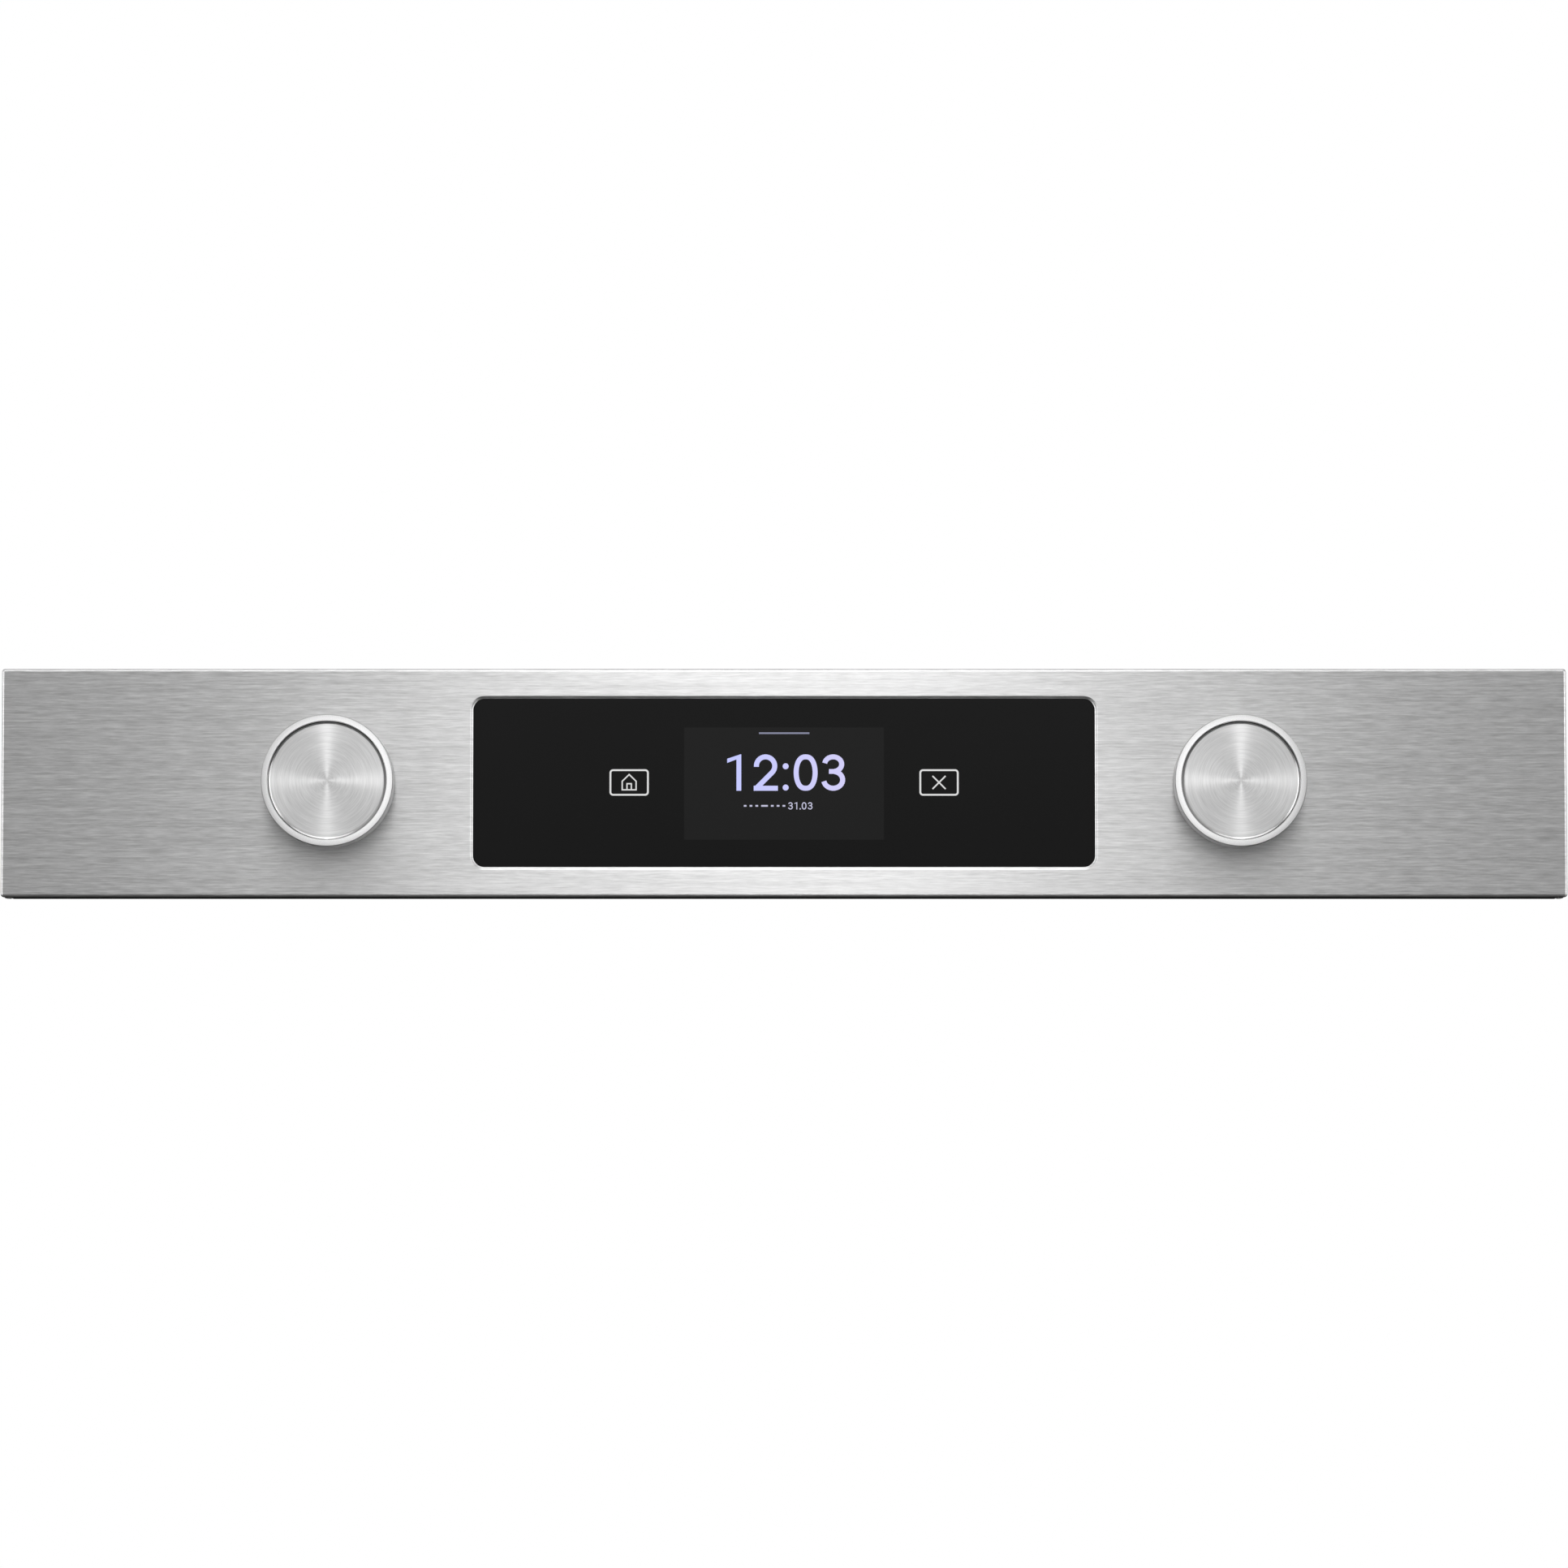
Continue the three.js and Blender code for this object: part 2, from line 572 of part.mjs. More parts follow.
// Metal ring: a straight skirt, a fine groove and a proud rim round the recessed cap.
function knobRing() {
  const [skirt, inner, groove, chamfer] = [KNOB_RADIUS - 0.2, 29.2, KNOB_RADIUS - 0.7, 0.4];
  const grooveRear = KNOB_FRONT + 3.7;
  const outline = [
    [inner, KNOB_REAR], [skirt - chamfer, KNOB_REAR], [skirt, KNOB_REAR - chamfer],
    [skirt, grooveRear], [groove, grooveRear - 0.2], [groove, grooveRear - 0.8],
    [KNOB_RADIUS, grooveRear - 1], [KNOB_RADIUS, KNOB_FRONT + chamfer],
    [KNOB_RADIUS - chamfer, KNOB_FRONT], [RIM_INNER_RADIUS + chamfer, KNOB_FRONT],
    [RIM_INNER_RADIUS, KNOB_FRONT + chamfer], [RIM_INNER_RADIUS, -66.6],
    [inner, -66.6], [inner, KNOB_REAR],
  ];
  return turned(outline, 56);
}

// Spun disc with a chamfered edge, set below the rim.
function knobCap() {
  const [rear, chamfer] = [-66.6, 1];
  return turned([
    [0, CAP_FACE], [CAP_RADIUS - chamfer, CAP_FACE], [CAP_RADIUS, CAP_FACE + chamfer],
    [CAP_RADIUS, rear], [0, rear],
  ], 56);
}

// Lead from the main board to the encoder, held inside the panel over its whole length.
function encoderLead(side) {
  const route = [
    [SOCKET_X + 4.3, SOCKET_Y, SOCKET_Z],
    [SOCKET_X + 10, SOCKET_Y, SOCKET_Z],
    [158, SOCKET_Y, SOCKET_Z + 0.5],
    [172, -30, -23],
    [186, -27.6, -14],
    [197, -27, -4],
    [203.2, -27, 0],
    [KNOB_X - 14.1, -27, 0],
  ].map(([x, y, z]) => new THREE.Vector3(side * x, y, z));
  const radius = 1.7;
  const section = new THREE.Shape();
  section.absarc(0, 0, radius, 0, 2 * Math.PI);
  return solid(new THREE.ExtrudeGeometry(section, {
    steps: 18,
    curveSegments: 4,
    bevelEnabled: false,
    extrudePath: new THREE.CatmullRomCurve3(route, false, 'centripetal'),
  }));
}

function addKnob(sideName, side) {
  const place = new THREE.Group();
  place.position.x = side * KNOB_X;
  panel.add(place);
  const add = (name, body, finish) => addPiece(`${name}_${sideName}`, body, finish, place);
  const boardRear = ENCODER_REAR + GAP + BOARD_THICKNESS;
  add('encoder_bracket', encoderBracket(), GALVANISED);
  add('encoder_body', encoderBody(), ZINC);
  add('encoder_board', slab(34, 34, ENCODER_REAR + GAP, boardRear), CIRCUIT_BOARD);
  add('encoder_header', slab(8, 10, boardRear + GAP, -24.6, -side * 9.8), WHITE_PLASTIC);
  const nut = add('encoder_nut', hexNut(12, BUSHING_RADIUS + GAP, 2), ZINC);
  nut.position.y = BRACKET_Y - GAP - 1;
  add('shaft_seal', shaftSeal(), RUBBER);
  add('encoder_slider', encoderSlider(), BLACK_PLASTIC);
  add('encoder_shaft', encoderShaft(), ZINC);
  add('knob_clip', knobClip(), ZINC);
  add('knob_core', knobCore(), BLACK_PLASTIC);
  add('knob_ring', knobRing(), SATIN_METAL);
  add('knob_cap', knobCap(), SPUN_METAL);
  addPiece(`encoder_lead_${sideName}`, encoderLead(side), CABLE);
}

// ---- Rear chassis -------------------------------------------------------------------------

// Deep tray of galvanised sheet, flanged outwards in front, vented along its top.
function rearChassis() {
  const hollowWidth = CHASSIS_WIDTH - 2 * SHEET;
  const hollowHeight = CHASSIS_HEIGHT - 2 * SHEET;
  let body = cut(
    joined(
      slab(CHASSIS_WIDTH, CHASSIS_HEIGHT, FLANGE_Y, 0),
      slab(FLANGE_WIDTH, FLANGE_HEIGHT, FLANGE_Y, FLANGE_Y + SHEET)),
    slab(hollowWidth, hollowHeight, FLANGE_Y - 1, -SHEET),
    slab(40, 18, -SHEET - 1, 1, HEADER_X, HEADER_Z));
  const [slotLength, slotWidth, slotPitch, slotRows] = [34, 2.6, 6, 3];
  for (const x of [-250, -200, 200, 250]) {
    for (let row = 0; row < slotRows; row += 1) {
      const y = -18 + row * slotPitch;
      body = cut(body, block(
        x - slotLength / 2, x + slotLength / 2, y, y + slotWidth,
        CHASSIS_HEIGHT / 2 - SHEET - 1, CHASSIS_HEIGHT / 2 + 1));
    }
  }
  for (const side of Object.values(SIDES)) {
    for (const end of Object.values(ENDS)) {
      body = cut(body, bar(
        SCREW_HOLE_RADIUS, FLANGE_Y - 1, FLANGE_Y + SHEET + 1, side * SCREW_X, end * SCREW_Z, 12));
    }
  }
  return body;
}

// Pan-head sheet-metal screw along Y, its head to the rear.
function chassisScrew() {
  const seat = FLANGE_Y + SHEET + GAP;
  return turned([
    [0, seat - 9], [SCREW_RADIUS, seat - 8], [SCREW_RADIUS, seat], [3.8, seat],
    [3.6, seat + 1.6], [2.4, seat + 2.3], [0, seat + 2.3],
  ], 16);
}

function addChassis() {
  addPiece('rear_chassis', rearChassis(), GALVANISED);
  for (const [sideName, side] of Object.entries(SIDES)) {
    for (const [endName, end] of Object.entries(ENDS)) {
      const screw = addPiece(`chassis_screw_${sideName}_${endName}`, chassisScrew(), ZINC);
      screw.position.set(side * SCREW_X, 0, end * SCREW_Z);
    }
  }
}

addFascia();
addDisplay();
addMainBoard();
for (const [sideName, side] of Object.entries(SIDES)) {
  addKnob(sideName, side);
}
addChassis();

export default panel;
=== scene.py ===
"""Looks of a built-in wall oven's control panel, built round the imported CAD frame.

The panel looks along -Y, X runs along it to the right and Z is up. Shapes are drawn in
millimetres in that frame and turned to metres when an object is made.
"""
import json
import math

import bmesh
import bpy
from mathutils import Matrix, Vector

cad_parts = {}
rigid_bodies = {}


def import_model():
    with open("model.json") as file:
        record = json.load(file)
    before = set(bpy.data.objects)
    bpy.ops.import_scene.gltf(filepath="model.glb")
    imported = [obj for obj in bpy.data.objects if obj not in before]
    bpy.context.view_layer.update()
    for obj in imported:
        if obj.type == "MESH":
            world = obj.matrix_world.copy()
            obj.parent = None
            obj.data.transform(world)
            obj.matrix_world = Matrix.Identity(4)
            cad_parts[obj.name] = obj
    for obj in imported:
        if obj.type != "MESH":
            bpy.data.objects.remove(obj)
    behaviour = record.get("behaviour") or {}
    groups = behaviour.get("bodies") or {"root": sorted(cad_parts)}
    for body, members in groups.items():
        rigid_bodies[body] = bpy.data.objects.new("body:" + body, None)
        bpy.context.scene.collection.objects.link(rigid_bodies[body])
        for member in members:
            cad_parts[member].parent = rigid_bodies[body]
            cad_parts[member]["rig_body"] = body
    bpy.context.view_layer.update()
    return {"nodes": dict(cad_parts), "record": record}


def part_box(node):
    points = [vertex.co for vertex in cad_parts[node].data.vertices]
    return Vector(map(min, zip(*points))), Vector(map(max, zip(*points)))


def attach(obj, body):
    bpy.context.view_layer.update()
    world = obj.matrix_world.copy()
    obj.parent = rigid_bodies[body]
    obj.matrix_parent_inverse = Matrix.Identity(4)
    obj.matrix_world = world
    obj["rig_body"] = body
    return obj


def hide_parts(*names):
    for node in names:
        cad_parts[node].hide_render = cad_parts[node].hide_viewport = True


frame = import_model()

MM = 0.001
SIDES = {"left": -1, "right": 1}
ENDS = {"lower": -1, "upper": 1}
scene = bpy.context.scene


def span(node):
    """Lowest and highest corner of a CAD node, in millimetres."""
    low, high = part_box(node)
    return low / MM, high / MM


# ---- Sizes, all read from the frame or set by the sheet and its tools ----------------------

FASCIA_LOW, FASCIA_HIGH = span("fascia")
PANEL_WIDTH = FASCIA_HIGH.x - FASCIA_LOW.x
PANEL_HEIGHT = FASCIA_HIGH.z - FASCIA_LOW.z
FACE_Y = FASCIA_LOW.y
SHEET = 1.0
BEND_RADIUS = 1.5
RETURN_REAR = -36.0
LIP_WIDTH = 10.0
LIP_BREAK = 344.0
WINDOW = (300.1, 81.4, 5.6)
GLASS_LOW, GLASS_HIGH = span("touch_glass")
RING_LOW, RING_HIGH = span("knob_ring_right")
KNOB_X = (RING_LOW.x + RING_HIGH.x) / 2
KNOB_RADIUS = (RING_HIGH.x - RING_LOW.x) / 2
KNOB_FRONT = RING_LOW.y
KNOB_REAR = RING_HIGH.y
RIM_INNER_RADIUS = 28.4
CAP_RADIUS = 28.1
CAP_FACE = KNOB_FRONT + 1.9
CAP_REAR = -66.6
SHAFT_HOLE_RADIUS = 7.0
SCREW_X, SCREW_Z = 345.0, 49.0
END_STUD_Y, END_STUD_Z, END_STUD_TIP = -42.2, 30.0, -367.5
HOUSING_STUD_X, HOUSING_STUD_TIP = 168.0, -25.0
CAMERA_DISTANCE = 2.8  # metres


# ---- Drawing shapes -------------------------------------------------------------------------

def finished(name, bm, origin=(0.0, 0.0, 0.0), smooth_angle=32.0):
    """An object from a bmesh drawn in millimetres round origin, with crisp edges kept crisp."""
    bmesh.ops.scale(bm, vec=(MM, MM, MM), verts=bm.verts)
    mesh = bpy.data.meshes.new(name)
    bm.to_mesh(mesh)
    bm.free()
    piece = bpy.data.objects.new(name, mesh)
    scene.collection.objects.link(piece)
    piece.location = Vector(origin) * MM
    shade(piece, smooth_angle)
    return piece


def shade(piece, smooth_angle):
    """Smooth shading over bends, sharp over real edges, flat faces kept flat."""
    mesh = piece.data
    mesh.polygons.foreach_set("use_smooth", [True] * len(mesh.polygons))
    mesh.set_sharp_from_angle(angle=math.radians(smooth_angle))
    weighted = piece.modifiers.new("flat faces", "WEIGHTED_NORMAL")
    weighted.keep_sharp = True
    weighted.weight = 100


def rounded_rectangle(width, height, radius, steps=8):
    """Corner-rounded outline in X and Z, anticlockwise as seen from the front."""
    points = []
    corners = ((1, -1, -90), (1, 1, 0), (-1, 1, 90), (-1, -1, 180))
    for sx, sz, start in corners:
        x = sx * (width / 2 - radius)
        z = sz * (height / 2 - radius)
        for step in range(steps + 1):
            angle = math.radians(start + 90 * step / steps)
            points.append((x + radius * math.cos(angle), z + radius * math.sin(angle)))
    return points


def circle(radius, steps=64):
    turns = (2 * math.pi * step / steps for step in range(steps))
    return [(radius * math.cos(turn), radius * math.sin(turn)) for turn in turns]


def loft(bm, sections, centre=(0.0, 0.0)):
    """A closed solid through sections, each an outline in X and Z at a depth Y."""
    rings = []
    for outline, y in sections:
        rings.append([bm.verts.new((centre[0] + x, y, centre[1] + z)) for x, z in outline])
    count = len(rings[0])
    for front, rear in zip(rings, rings[1:]):
        for i in range(count):
            j = (i + 1) % count
            bm.faces.new((front[i], front[j], rear[j], rear[i]))
    bm.faces.new(rings[0])
    bm.faces.new(list(reversed(rings[-1])))
    bmesh.ops.recalc_face_normals(bm, faces=bm.faces)
    return bm


def lathe(bm, outline, steps, centre=(0.0, 0.0)):
    """A body of revolution about Y. Its (radius, y) points close on themselves or on the axis."""
    rings = []
    for radius, y in outline:
        if radius == 0:
            rings.append([bm.verts.new((centre[0], y, centre[1]))])
            continue
        rings.append([bm.verts.new((centre[0] + radius * math.cos(a), y,
                                    centre[1] + radius * math.sin(a)))
                      for a in (2 * math.pi * k / steps for k in range(steps))])
    closed = outline[0][0] > 0
    pairs = list(zip(rings, rings[1:])) + ([(rings[-1], rings[0])] if closed else [])
    for one, two in pairs:
        for i in range(steps):
            j = (i + 1) % steps
            corners = [one[i % len(one)], one[j % len(one)], two[j % len(two)], two[i % len(two)]]
            kept = list(dict.fromkeys(corners))
            bm.faces.new(kept)
    bmesh.ops.recalc_face_normals(bm, faces=bm.faces)
    return bm


def block(bm, low, high):
    """A plain cuboid between two corners, for cutting or joining."""
    made = bmesh.ops.create_cube(bm, size=1.0)["verts"]
    low, high = Vector(low), Vector(high)
    for vert in made:
        vert.co = [low[k] + (vert.co[k] + 0.5) * (high[k] - low[k]) for k in range(3)]
    return bm


def bare(bm):
    """A helper object that only cuts or joins."""
    mesh = bpy.data.meshes.new("tool")
    bm.to_mesh(mesh)
    bm.free()
    tool = bpy.data.objects.new("tool", mesh)
    scene.collection.objects.link(tool)
    return tool


def worked(name, base, steps):
    """base joined with or cut by each tool in turn; steps are ("UNION" or "DIFFERENCE", bmesh)."""
    body = bare(base)
    tools = []
    for operation, drawing in steps:
        tool = bare(drawing)
        tools.append(tool)
        change = body.modifiers.new(operation, "BOOLEAN")
        change.operation = operation
        change.solver = "EXACT"
        change.object = tool
    graph = bpy.context.evaluated_depsgraph_get()
    result = bmesh.new()
    result.from_mesh(bpy.data.meshes.new_from_object(body.evaluated_get(graph)))
    bmesh.ops.remove_doubles(result, verts=result.verts, dist=1e-4)
    for spare in [body, *tools]:
        bpy.data.objects.remove(spare)
    return finished(name, result)


def thread(radius, pitch, start, end, core=0.0):
    """Outline of a threaded bar on the axis from y = start to end, with a pointed-in tip."""
    crest, root = radius, radius - 0.6 * pitch
    outline = [(core, start), (root, start)]
    y = start
    while y + pitch < end:
        outline += [(root, y + 0.12 * pitch), (crest, y + 0.45 * pitch),
                    (crest, y + 0.6 * pitch), (root, y + 0.93 * pitch)]
        y += pitch
    return outline + [(root, end), (core, end)]


def turned_to_x(bm, side):
    """Turns a body drawn about Y so that its +Y end points along side * X."""
    turn = Matrix.Rotation(-side * math.pi / 2, 3, "Z")
    bmesh.ops.rotate(bm, verts=bm.verts, cent=(0, 0, 0), matrix=turn)
    return bm


def moved(bm, x=0.0, y=0.0, z=0.0):
    bmesh.ops.translate(bm, verts=bm.verts, vec=(x, y, z))
    return bm


def refined(node, edge, smooth_angle=32.0):
    """A CAD node's own shape with its edges broken by a fillet of that many millimetres."""
    source = frame["nodes"][node]
    bm = bmesh.new()
    bm.from_mesh(source.data)
    bmesh.ops.remove_doubles(bm, verts=bm.verts, dist=1e-7)
    bmesh.ops.dissolve_limit(bm, angle_limit=math.radians(0.5), verts=bm.verts, edges=bm.edges)
    mesh = bpy.data.meshes.new(node + "_detail")
    bm.to_mesh(mesh)
    bm.free()
    piece = bpy.data.objects.new(node + "_detail", mesh)
    scene.collection.objects.link(piece)
    fillet = piece.modifiers.new("broken edges", "BEVEL")
    fillet.width = edge * MM
    fillet.segments = 2
    fillet.limit_method = "ANGLE"
    fillet.angle_limit = math.radians(35)
    fillet.harden_normals = False
    shade(piece, smooth_angle)
    return stand_for(piece, node)


def stand_for(piece, node):
    """The piece takes the CAD node's body and the finish of the node's slot, and takes its place.
    """
    slot_name = SLOTS[node]
    return mount(piece, frame["nodes"][node]["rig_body"], slot_name, FINISH[slot_name], node)


def lay_grain(piece):
    """UVs in metres, U along the way the sheet was brushed, so grain and lustre follow it."""
    mesh = piece.data
    layer = mesh.uv_layers.new(name="grain")
    for polygon in mesh.polygons:
        normal = polygon.normal
        for loop in polygon.loop_indices:
            x, y, z = mesh.vertices[mesh.loops[loop].vertex_index].co
            if abs(normal.x) > 0.75:
                layer.data[loop].uv = (y, z)
            elif abs(normal.z) > 0.75:
                layer.data[loop].uv = (x, y)
            else:
                layer.data[loop].uv = (x, z)


def mount(piece, body, slot_name, finish, *nodes):
    """Dresses a piece, fixes it to its body and lets it stand for its CAD nodes."""
    piece.data.materials.clear()
    piece.data.materials.append(finish)
    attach(piece, body)
    if nodes:
        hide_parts(*nodes)
    return piece


# ---- Materials ------------------------------------------------------------------------------

def colour(code):
    """Linear RGBA from an sRGB hex code."""
    channels = [int(code[i:i + 2], 16) / 255 for i in (1, 3, 5)]
    linear = [c / 12.92 if c <= 0.04045 else ((c + 0.055) / 1.055) ** 2.4 for c in channels]
    return (*linear, 1.0)


def add(tree, kind, feeds=None, **settings):
    """Adds a node with its settings; feeds maps its inputs to values or to other nodes' outputs."""
    made = tree.nodes.new(kind)
    for name, value in settings.items():
        setattr(made, name, value)
    for name, value in (feeds or {}).items():
        if isinstance(value, bpy.types.NodeSocket):
            tree.links.new(value, made.inputs[name])
        else:
            made.inputs[name].default_value = value
    return made


def new_material(name, **values):
    """A material with one Principled shader whose plain values are set on its own sockets."""
    material = bpy.data.materials.new(name)
    material.use_nodes = True
    tree = material.node_tree
    tree.nodes.clear()
    shader = add(tree, "ShaderNodeBsdfPrincipled", values)
    add(tree, "ShaderNodeOutputMaterial", {"Surface": shader.outputs["BSDF"]})
    return material, tree, shader


def ramp(tree, value, stops):
    """A colour ramp over value; stops are (position, colour)."""
    made = add(tree, "ShaderNodeValToRGB", {"Fac": value})
    elements = made.color_ramp.elements
    while len(elements) < len(stops):
        elements.new(0.5)
    for element, (position, shown) in zip(elements, stops):
        element.position = position
        element.color = shown
    return made.outputs["Color"]


def brushed_stainless():
    """Cold-rolled 304 sheet, brushed lengthwise with a 180-grit belt. The eye sees fine level
    streaks, and lights drawn out into tall soft columns across the grain."""
    material, tree, shader = new_material(
        "brushed stainless sheet", Metallic=1.0, Anisotropic=0.82)
    place = add(tree, "ShaderNodeUVMap", uv_map="grain").outputs["UV"]
    streak_length, streak_width = 0.011, 0.0008
    stretched = add(tree, "ShaderNodeMapping", {
        "Vector": place, "Scale": (1 / streak_length, 1 / streak_width, 1.0)})
    streaks = add(tree, "ShaderNodeTexNoise", {
        "Vector": stretched.outputs["Vector"], "Scale": 1.0, "Detail": 3.0, "Roughness": 0.62})
    wide = add(tree, "ShaderNodeMapping", {"Vector": place, "Scale": (9.0, 420.0, 1.0)})
    bands = add(tree, "ShaderNodeTexNoise", {
        "Vector": wide.outputs["Vector"], "Scale": 1.0, "Detail": 2.0, "Roughness": 0.5})
    blend = add(tree, "ShaderNodeMix", {
        "Factor": 0.3, "A": streaks.outputs["Fac"], "B": bands.outputs["Fac"]})
    tint = ramp(tree, blend.outputs["Result"], (
        (0.32, colour("#B4B4B4")), (0.5, colour("#CBCBCB")), (0.68, colour("#E0E0E0"))))
    tree.links.new(tint, shader.inputs["Base Color"])
    depth = add(tree, "ShaderNodeMapRange", {
        "Value": streaks.outputs["Fac"], "From Min": 0.3, "From Max": 0.7,
        "To Min": 0.34, "To Max": 0.4})
    tree.links.new(depth.outputs["Result"], shader.inputs["Roughness"])
    scratches = add(tree, "ShaderNodeBump", {
        "Strength": 0.1, "Distance": 0.00002, "Height": streaks.outputs["Fac"]})
    tree.links.new(scratches.outputs["Normal"], shader.inputs["Normal"])
    grain = add(tree, "ShaderNodeTangent", direction_type="UV_MAP", uv_map="grain")
    tree.links.new(grain.outputs["Tangent"], shader.inputs["Tangent"])
    shader.inputs["Anisotropic Rotation"].default_value = 0.25
    return material


def ring_noise(tree, pitch, arc):
    """Noise that runs in rings round the object's Y axis: pitch between rings in metres, arc
    larger for shorter arcs."""
    local = add(tree, "ShaderNodeTexCoord").outputs["Object"]
    flat = add(tree, "ShaderNodeVectorMath", {0: local, 1: (1.0, 0.0, 1.0)}, operation="MULTIPLY")
    radius = add(tree, "ShaderNodeVectorMath", {0: flat.outputs["Vector"]}, operation="LENGTH")
    heading = add(tree, "ShaderNodeVectorMath", {0: flat.outputs["Vector"]},
                  operation="NORMALIZE")
    turned = add(tree, "ShaderNodeSeparateXYZ", {"Vector": heading.outputs["Vector"]})
    rings = add(tree, "ShaderNodeMath", {0: radius.outputs["Value"], 1: 1 / pitch},
                operation="MULTIPLY")
    sweep = [add(tree, "ShaderNodeMath", {0: turned.outputs[axis], 1: arc},
                 operation="MULTIPLY").outputs["Value"] for axis in ("X", "Z")]
    joined = add(tree, "ShaderNodeCombineXYZ", {
        "X": rings.outputs["Value"], "Y": sweep[0], "Z": sweep[1]})
    return add(tree, "ShaderNodeTexNoise", {
        "Vector": joined.outputs["Vector"], "Scale": 1.0, "Detail": 3.0,
        "Roughness": 0.6}).outputs["Fac"]


def spun_stainless():
    """Stainless disc brushed while it spins. Fine rings, and lights that open into fans from
    the centre."""
    material, tree, shader = new_material("spun stainless", Metallic=1.0, Anisotropic=0.88)
    rings = ring_noise(tree, 0.0006, 1.6)
    tint = ramp(tree, rings, (
        (0.3, colour("#CBCBCB")), (0.5, colour("#D6D6D6")), (0.7, colour("#E0E0E0"))))
    tree.links.new(tint, shader.inputs["Base Color"])
    shader.inputs["Roughness"].default_value = 0.34
    grooves = add(tree, "ShaderNodeBump", {
        "Strength": 0.04, "Distance": 0.00002, "Height": rings})
    tree.links.new(grooves.outputs["Normal"], shader.inputs["Normal"])
    around = add(tree, "ShaderNodeTangent", direction_type="RADIAL", axis="Y")
    tree.links.new(around.outputs["Tangent"], shader.inputs["Tangent"])
    shader.inputs["Anisotropic Rotation"].default_value = 0.25
    return material


def satin_stainless():
    """Turned and bead-blasted stainless ring. An even pale sheen with no direction."""
    material, tree, shader = new_material("satin stainless", Metallic=1.0)
    local = add(tree, "ShaderNodeTexCoord").outputs["Object"]
    grit = add(tree, "ShaderNodeTexNoise", {
        "Vector": local, "Scale": 1 / 0.0004, "Detail": 2.0})
    tint = ramp(tree, grit.outputs["Fac"], (
        (0.3, colour("#DEDEDE")), (0.7, colour("#EDEDED"))))
    tree.links.new(tint, shader.inputs["Base Color"])
    shader.inputs["Roughness"].default_value = 0.32
    blast = add(tree, "ShaderNodeBump", {
        "Strength": 0.06, "Distance": 0.00002, "Height": grit.outputs["Fac"]})
    tree.links.new(blast.outputs["Normal"], shader.inputs["Normal"])
    return material


def printed_glass():
    """Soda-lime glass printed black on its back. Deep black with a hard clear shine, and a
    trace of wiping marks in it."""
    material, tree, shader = new_material("black printed glass", IOR=1.52)
    local = add(tree, "ShaderNodeTexCoord").outputs["Object"]
    haze = add(tree, "ShaderNodeTexNoise", {
        "Vector": local, "Scale": 14.0, "Detail": 4.0, "Roughness": 0.6})
    tint = ramp(tree, haze.outputs["Fac"], (
        (0.3, colour("#060606")), (0.7, colour("#090909"))))
    tree.links.new(tint, shader.inputs["Base Color"])
    wiped = add(tree, "ShaderNodeMapRange", {
        "Value": haze.outputs["Fac"], "To Min": 0.03, "To Max": 0.08})
    tree.links.new(wiped.outputs["Result"], shader.inputs["Roughness"])
    return material


def lit_mark(name, code, strength, far_code=None):
    """Light from a screen or light guide coming through the glass's print. Even, soft-edged
    colour, with the faint unevenness of the diffuser behind it."""
    material, tree, shader = new_material(name, Roughness=0.05, IOR=1.52)
    local = add(tree, "ShaderNodeTexCoord").outputs["Object"]
    diffuser = add(tree, "ShaderNodeTexNoise", {
        "Vector": local, "Scale": 60.0, "Detail": 1.0})
    spread = add(tree, "ShaderNodeMapRange", {
        "Value": diffuser.outputs["Fac"], "To Min": 0.96, "To Max": 1.04})
    across = add(tree, "ShaderNodeSeparateXYZ", {"Vector": local})
    reach = 0.028
    fade = add(tree, "ShaderNodeMapRange", {
        "Value": across.outputs["X"], "From Min": -reach, "From Max": reach})
    shown = ramp(tree, fade.outputs["Result"], (
        (0.0, colour(code)), (1.0, colour(far_code or code))))
    even = add(tree, "ShaderNodeVectorMath", {
        0: shown, "Scale": spread.outputs["Result"]}, operation="SCALE")
    tree.links.new(even.outputs["Vector"], shader.inputs["Emission Color"])
    shader.inputs["Emission Strength"].default_value = strength
    shader.inputs["Base Color"].default_value = colour("#050505")
    return material


def powder_coat():
    """Black powder coat on steel. A dull even black with a fine orange-peel surface."""
    material, tree, shader = new_material("black powder coat", IOR=1.5)
    local = add(tree, "ShaderNodeTexCoord").outputs["Object"]
    peel = add(tree, "ShaderNodeTexNoise", {
        "Vector": local, "Scale": 1 / 0.0012, "Detail": 2.0})
    tint = ramp(tree, peel.outputs["Fac"], ((0.3, colour("#0A0A0A")), (0.7, colour("#101010"))))
    tree.links.new(tint, shader.inputs["Base Color"])
    shader.inputs["Roughness"].default_value = 0.55
    skin = add(tree, "ShaderNodeBump", {
        "Strength": 0.2, "Distance": 0.00005, "Height": peel.outputs["Fac"]})
    tree.links.new(skin.outputs["Normal"], shader.inputs["Normal"])
    return material


